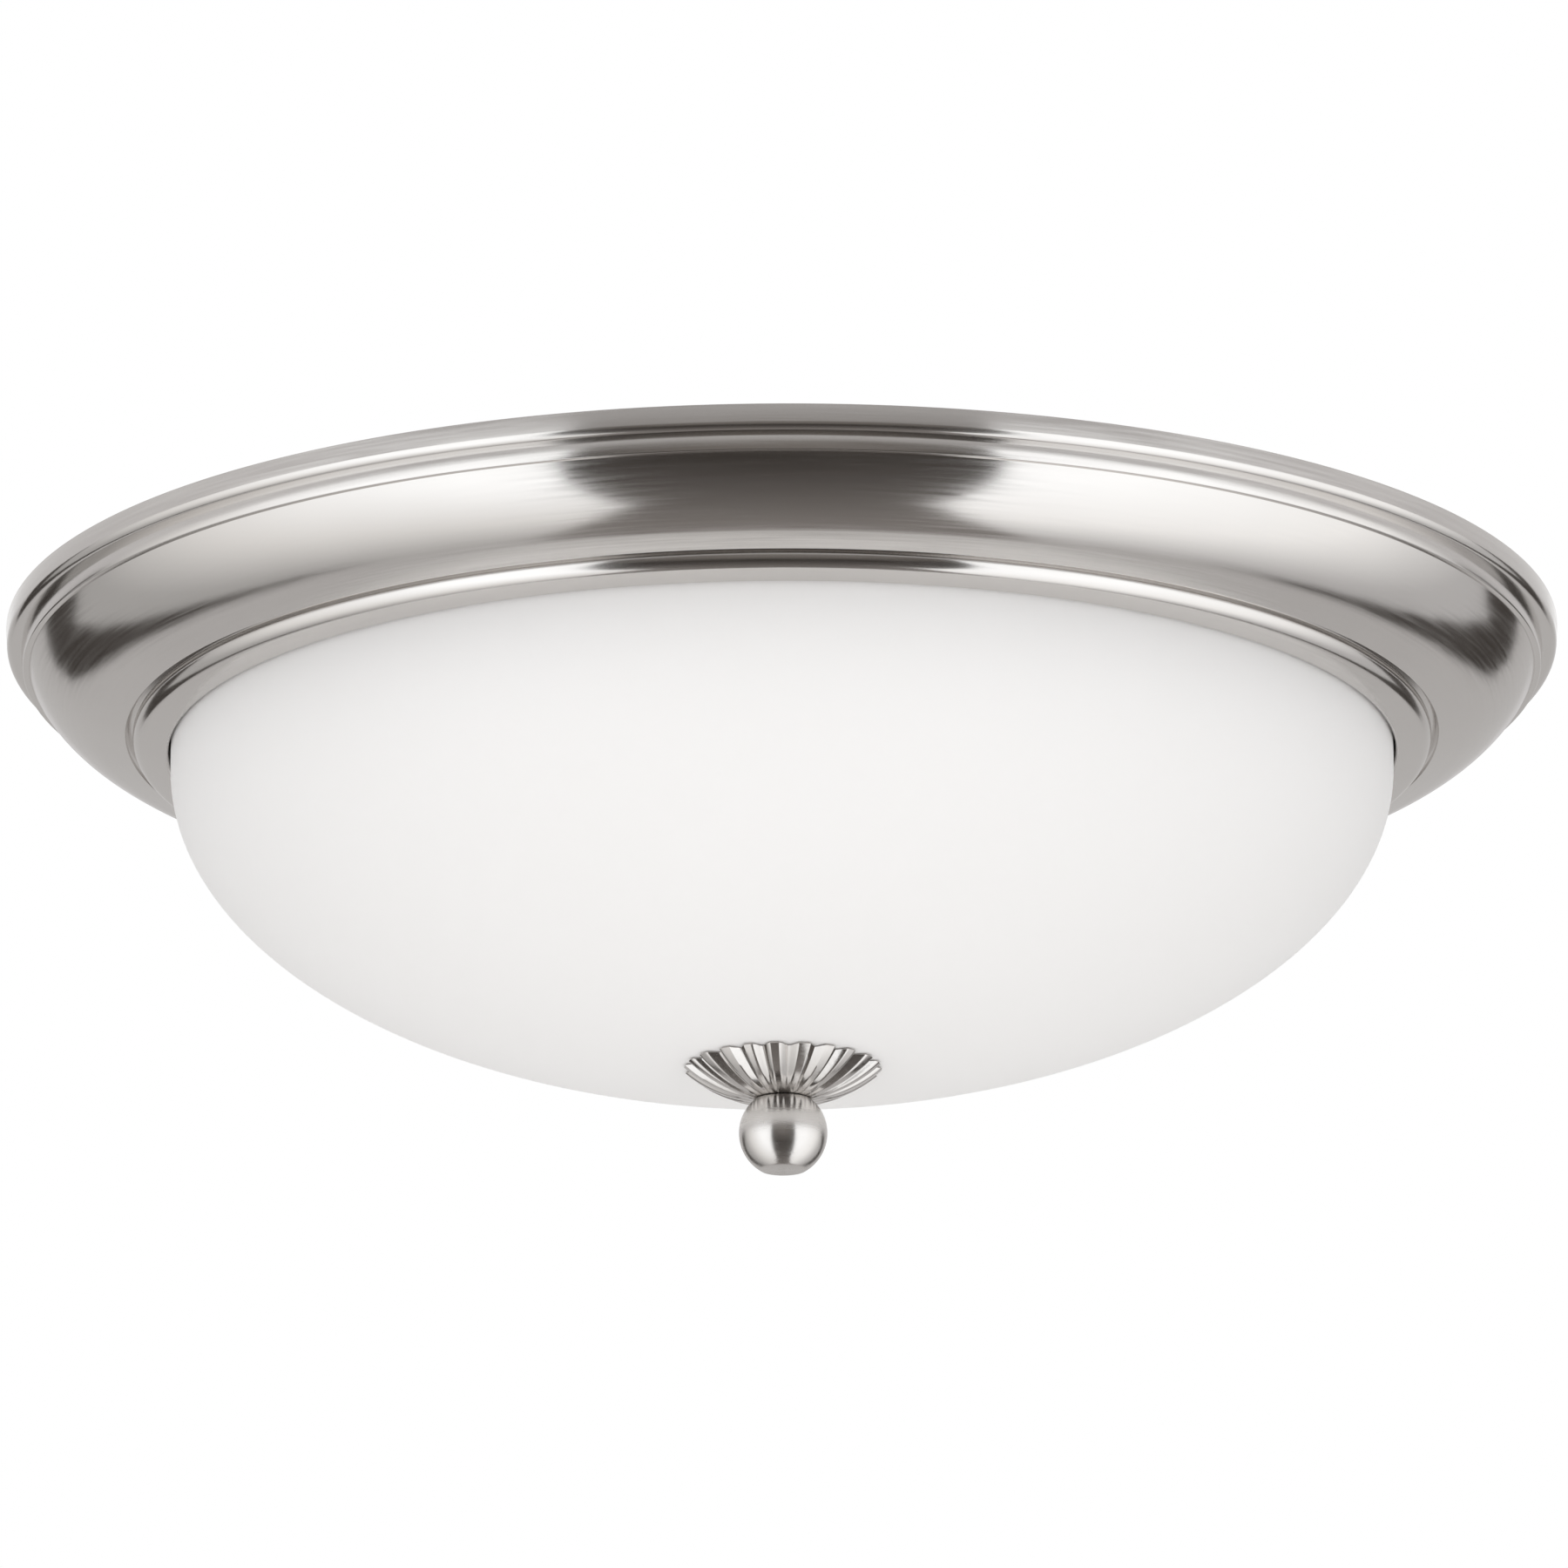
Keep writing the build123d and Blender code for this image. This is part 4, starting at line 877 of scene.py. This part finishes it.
# The pleats aren't quite even. They stray by about a degree, and each leaves two fifths of its flute flat.
for vertex in ruffled_cup.data.vertices:
    reach = hypot(vertex.co.x, vertex.co.y) * 1000
    turn = atan2(vertex.co.y, vertex.co.x)
    fade = min(1, max(0, (reach - cup_neck + pleat_lead) / (cup_reach - cup_neck)))
    pleat = (flutes * (turn + pleat_stray * sin(7 * turn + 1)) / (2 * pi) + pleat_start) % 1
    crease = max(0, (abs(pleat - 0.5) * 2 - pleat_flat) / (1 - pleat_flat))
    thinned = min(1, max(0, (reach - thin_from) / thin_over))
    folds.add([vertex.index], fade * crease, "REPLACE")
    sheet_share.add([vertex.index], 1 - rim_thinning * thinned, "REPLACE")
press = ruffled_cup.modifiers.new("flutes", "DISPLACE")
press.vertex_group, press.mid_level, press.strength = "folds", 0, -flute_depth / 1000
bpy.ops.object.modifier_apply(modifier="flutes")
bpy.ops.object.mode_set(mode="EDIT")
bpy.ops.mesh.select_all(action="SELECT")
bpy.ops.mesh.bisect(plane_co=(0, 0, cup_rim / 1000), plane_no=(0, 0, 1), clear_outer=True)
bpy.ops.object.mode_set(mode="OBJECT")
sheet = ruffled_cup.modifiers.new("sheet", "SOLIDIFY")
sheet.thickness, sheet.offset, sheet.vertex_group = cup_sheet / 1000, -1, "sheet"
bpy.ops.object.modifier_apply(modifier="sheet")
bpy.ops.object.shade_smooth_by_angle(angle=radians(40))

# Pressed nickel plate: as on the pan, but the press has ironed most of the brush lines out of the sheet.
pressed_nickel = nickel.copy()
pressed_nickel.name = "pressed_nickel_plate"
pressed_nickel.node_tree.nodes["scratch"].inputs["Strength"].default_value = 0.02
pressed_nickel.node_tree.nodes["spot"].inputs[1].default_value = (1.5, 1.5, 1.5)
fit(ruffled_cup, pressed_nickel, "brushed_nickel", "cup", "finial_cup")

# Rubber grommet
# A soft grey silicone ring bedded in the cup's hollow, moulded in one with a boss that centres the hole in
# the glass, so that metal never touches it.
moulded_grommet = ease("bowl_grommet", "moulded_grommet", 0.35)

# Silicone rubber: pale grey and matt, with a faint bloom on its skin.
rubber = new_material("grey_silicone_rubber")
place = add_node(rubber, "ShaderNodeTexCoord", {}).outputs["Object"]
bloom = add_node(rubber, "ShaderNodeTexNoise", {"Vector": place, "Scale": 1 / 0.002, "Detail": 4}).outputs[0]
tone = add_node(
    rubber, "ShaderNodeMix", {0: bloom, 6: linear("#BDBBB5"), 7: linear("#D9D7D2")}, data_type="RGBA"
).outputs[2]
dull = add_node(rubber, "ShaderNodeMapRange", {"Value": bloom, 3: 0.6, 4: 0.8}).outputs[0]
soft = add_node(rubber, "ShaderNodeBsdfPrincipled", {"Base Color": tone, "Roughness": dull, "IOR": 1.42})
add_node(rubber, "ShaderNodeOutputMaterial", {"Surface": soft.outputs[0]})
fit(moulded_grommet, rubber, "grommet_rubber", "cup", "bowl_grommet")

# Ball finial
# A three-quarter inch ball turned from bar with a flat above and below, tapped for the rod, then brushed and
# nickel plated with the pan. Unscrewing it frees the bowl.
ball_centre, ball_round = -111.385, 9.525
ball_top, ball_bottom, bore = -104.07, -119.67, 3.225
bottom_turn = degrees(asin((ball_bottom + 0.1 - ball_centre) / ball_round))
top_turn = degrees(asin((ball_top - 0.1 - ball_centre) / ball_round))
ball_outline = [
    (0, ball_bottom),
    (3.0, ball_bottom),
    (4.4, ball_bottom + 0.02),
    *arc((0, ball_centre), ball_round, bottom_turn, top_turn - bottom_turn, 48),
    (5.8, ball_top),
    (bore, ball_top),
    (bore, ball_top - 10),
    (0, ball_top - 10.9),
]
turned_ball = turn_on_lathe("turned_ball", ball_outline, 128)

# Hand brushed nickel: fainter and longer lines than on the pan, and duller, so that the ball's reflections
# are softer.
ball_nickel = nickel.copy()
ball_nickel.name = "hand_brushed_nickel_plate"
for label, socket, value in (
    ("gloss", 3, 0.22),
    ("gloss", 4, 0.28),
    ("spot", 1, (1, 1, 1)),
    ("scratch", "Strength", 0.03),
):
    ball_nickel.node_tree.nodes[label].inputs[socket].default_value = value
fit(turned_ball, ball_nickel, "brushed_nickel", "ball", "ball_finial")

# Camera
# The photograph's own viewpoint: looking up by sixteen degrees with a long lens, from over three metres.
camera_stand, camera_rise, camera_roll = (0.0004, -3.2404, -0.9727), 16.169, -0.166
view_tilt = Matrix.Rotation(radians(90 + camera_rise), 4, "X")
view_roll = Matrix.Rotation(radians(camera_roll), 4, "Z")
bpy.ops.object.camera_add()
camera = bpy.context.object
camera.matrix_world = Matrix.Translation(camera_stand) @ view_tilt @ view_roll
camera.data.lens, camera.data.sensor_width = 357.65, 36
bpy.context.scene.camera = camera

# Studio
# A plain pale floor a storey below, a white surround, two soft boxes in front and one below. A light tent
# gives the metal its bright and dark reflections.
bpy.ops.object.select_all(action="DESELECT")
bpy.ops.mesh.primitive_plane_add(size=30, location=(0, 0, -2.4))
floor = bpy.context.object
floor.name = "studio_floor"
pale = new_material("pale_matt_floor")
place = add_node(pale, "ShaderNodeTexCoord", {}).outputs["Object"]
mottle = add_node(pale, "ShaderNodeTexNoise", {"Vector": place, "Scale": 2, "Detail": 3}).outputs[0]
tone = add_node(
    pale, "ShaderNodeMix", {0: mottle, 6: linear("#EDECEA"), 7: linear("#F1F0EE")}, data_type="RGBA"
).outputs[2]
matt = add_node(pale, "ShaderNodeBsdfPrincipled", {"Base Color": tone, "Roughness": 0.9})
add_node(pale, "ShaderNodeOutputMaterial", {"Surface": matt.outputs[0]})
floor.data.materials.append(pale)

# Light tent: it shows only in reflections. White panels stand left and right, brightest near the camera, and
# the right one stays bright further back. They leave a dark slot for the camera that runs on under the
# light, and a dark gap behind each panel. The panels' edges lie in planes through the tent's middle.
tent_radius = 2.1
tent_cloths = []
for name, strength, stops in (
    ("left_panel_cloth", 1.66, ((0.26, "#F9FBFD"), (0.55, "#CFCECD"), (0.75, "#989796"))),
    ("dark_slot_cloth", 1.0, ((0.0, "#837E7A"), (0.1, "#413D3A"), (0.67, "#8B8683"))),
    ("dark_gap_cloth", 1.0, ((0.64, "#55504D"), (0.97, "#423E3B"))),
    ("grey_back_cloth", 1.0, ((0.64, "#C4C2C1"), (0.97, "#C9C7C6"))),
    ("grey_top_cloth", 1.0, ((0.05, "#B7B5B4"), (0.4, "#D6D4D4"))),
    ("right_panel_cloth", 1.66, ((0.26, "#F9FBFD"), (0.55, "#E6E6E6"), (0.75, "#A5A4A4"))),
):
    cloth = new_material(name)
    place = add_node(cloth, "ShaderNodeTexCoord", {}).outputs["Object"]
    depth = add_node(cloth, "ShaderNodeSeparateXYZ", {0: place}).outputs["Y"]
    share = add_node(cloth, "ShaderNodeMapRange", {"Value": depth, 1: -tent_radius, 2: tent_radius})
    tones = add_node(cloth, "ShaderNodeValToRGB", {0: share.outputs[0]})
    for end, stop in ((0, 0), (1, -1)):
        tones.color_ramp.elements[end].position = stops[stop][0]
        tones.color_ramp.elements[end].color = linear(stops[stop][1])
    for position, code in stops[1:-1]:
        tones.color_ramp.elements.new(position).color = linear(code)
    glow = add_node(cloth, "ShaderNodeEmission", {"Color": tones.outputs[0], "Strength": strength})
    add_node(cloth, "ShaderNodeOutputMaterial", {"Surface": glow.outputs[0]})
    cloth.cycles.emission_sampling = "NONE"
    tent_cloths.append(cloth)
bpy.ops.object.select_all(action="DESELECT")
bpy.ops.mesh.primitive_uv_sphere_add(segments=240, ring_count=120, radius=tent_radius)
tent = bpy.context.object
tent.name = "light_tent"
for cloth in tent_cloths:
    tent.data.materials.append(cloth)
left_panel, slot, gap, back, top, right_panel = range(len(tent_cloths))
for face in tent.data.polygons:
    x, y, z = face.center.normalized()
    side, down = abs(x), -z
    in_slot = side < max(0.23 * down, 0.17 * down - 0.57 * y) and y < 0.62 * down
    behind_panel = y > min(0.9 * side + 0.24 * down, 0.6 * side + 1.2 * down)
    in_gap = behind_panel and y < min(2.0 * side - 0.22 * down, 1.19 * side + 1.46 * down)
    if down < -0.1:
        face.material_index = top
    elif in_slot:
        face.material_index = slot
    elif in_gap:
        face.material_index = gap
    elif behind_panel:
        face.material_index = back
    else:
        face.material_index = left_panel if x < 0 else right_panel
pick_faces(tent, lambda face: face.center.normalized().z > 0.25)
bpy.ops.mesh.delete(type="FACE")
bpy.ops.object.mode_set(mode="OBJECT")
for ray in ("camera", "diffuse", "transmission", "volume_scatter", "shadow"):
    setattr(tent, f"visible_{ray}", False)

bowl_middle, box_width = Vector((0, 0, -0.05)), 1.8
for name, stand, power in (
    ("soft_box_left", (-1.1, -1.7, -1.1), 8.6),
    ("soft_box_right", (1.1, -1.7, -1.1), 8.6),
    ("soft_box_below", (0, -0.6, -2.2), 9),
):
    bpy.ops.object.light_add(type="AREA", location=stand)
    soft_box = bpy.context.object
    soft_box.name = name
    aim = bowl_middle - soft_box.location
    soft_box.rotation_euler = aim.to_track_quat("-Z", "Y").to_euler()
    soft_box.data.shape = "RECTANGLE"
    soft_box.data.size, soft_box.data.size_y = box_width, box_width
    soft_box.data.energy = power
    soft_box.visible_camera = soft_box.visible_glossy = False

surround = bpy.data.worlds.new("white_surround")
surround.use_nodes = True
surround.node_tree.nodes.clear()
rays = add_node(surround, "ShaderNodeLightPath", {}).outputs
seen = add_node(
    surround, "ShaderNodeMath", {0: rays["Is Camera Ray"], 1: rays["Is Glossy Ray"]}, operation="MAXIMUM"
).outputs[0]
shown = add_node(
    surround, "ShaderNodeMath", {0: seen, 1: rays["Is Transmission Ray"]}, operation="MAXIMUM"
).outputs[0]
lighting = add_node(surround, "ShaderNodeBackground", {"Color": (1, 1, 1, 1), "Strength": 0.755}).outputs[0]
white = add_node(surround, "ShaderNodeBackground", {"Color": (1, 1, 1, 1), "Strength": 1}).outputs[0]
sky = add_node(surround, "ShaderNodeMixShader", {0: shown, 1: lighting, 2: white}).outputs[0]
add_node(surround, "ShaderNodeOutputWorld", {"Surface": sky})
bpy.context.scene.world = surround
bpy.context.scene.view_settings.view_transform = "Standard"
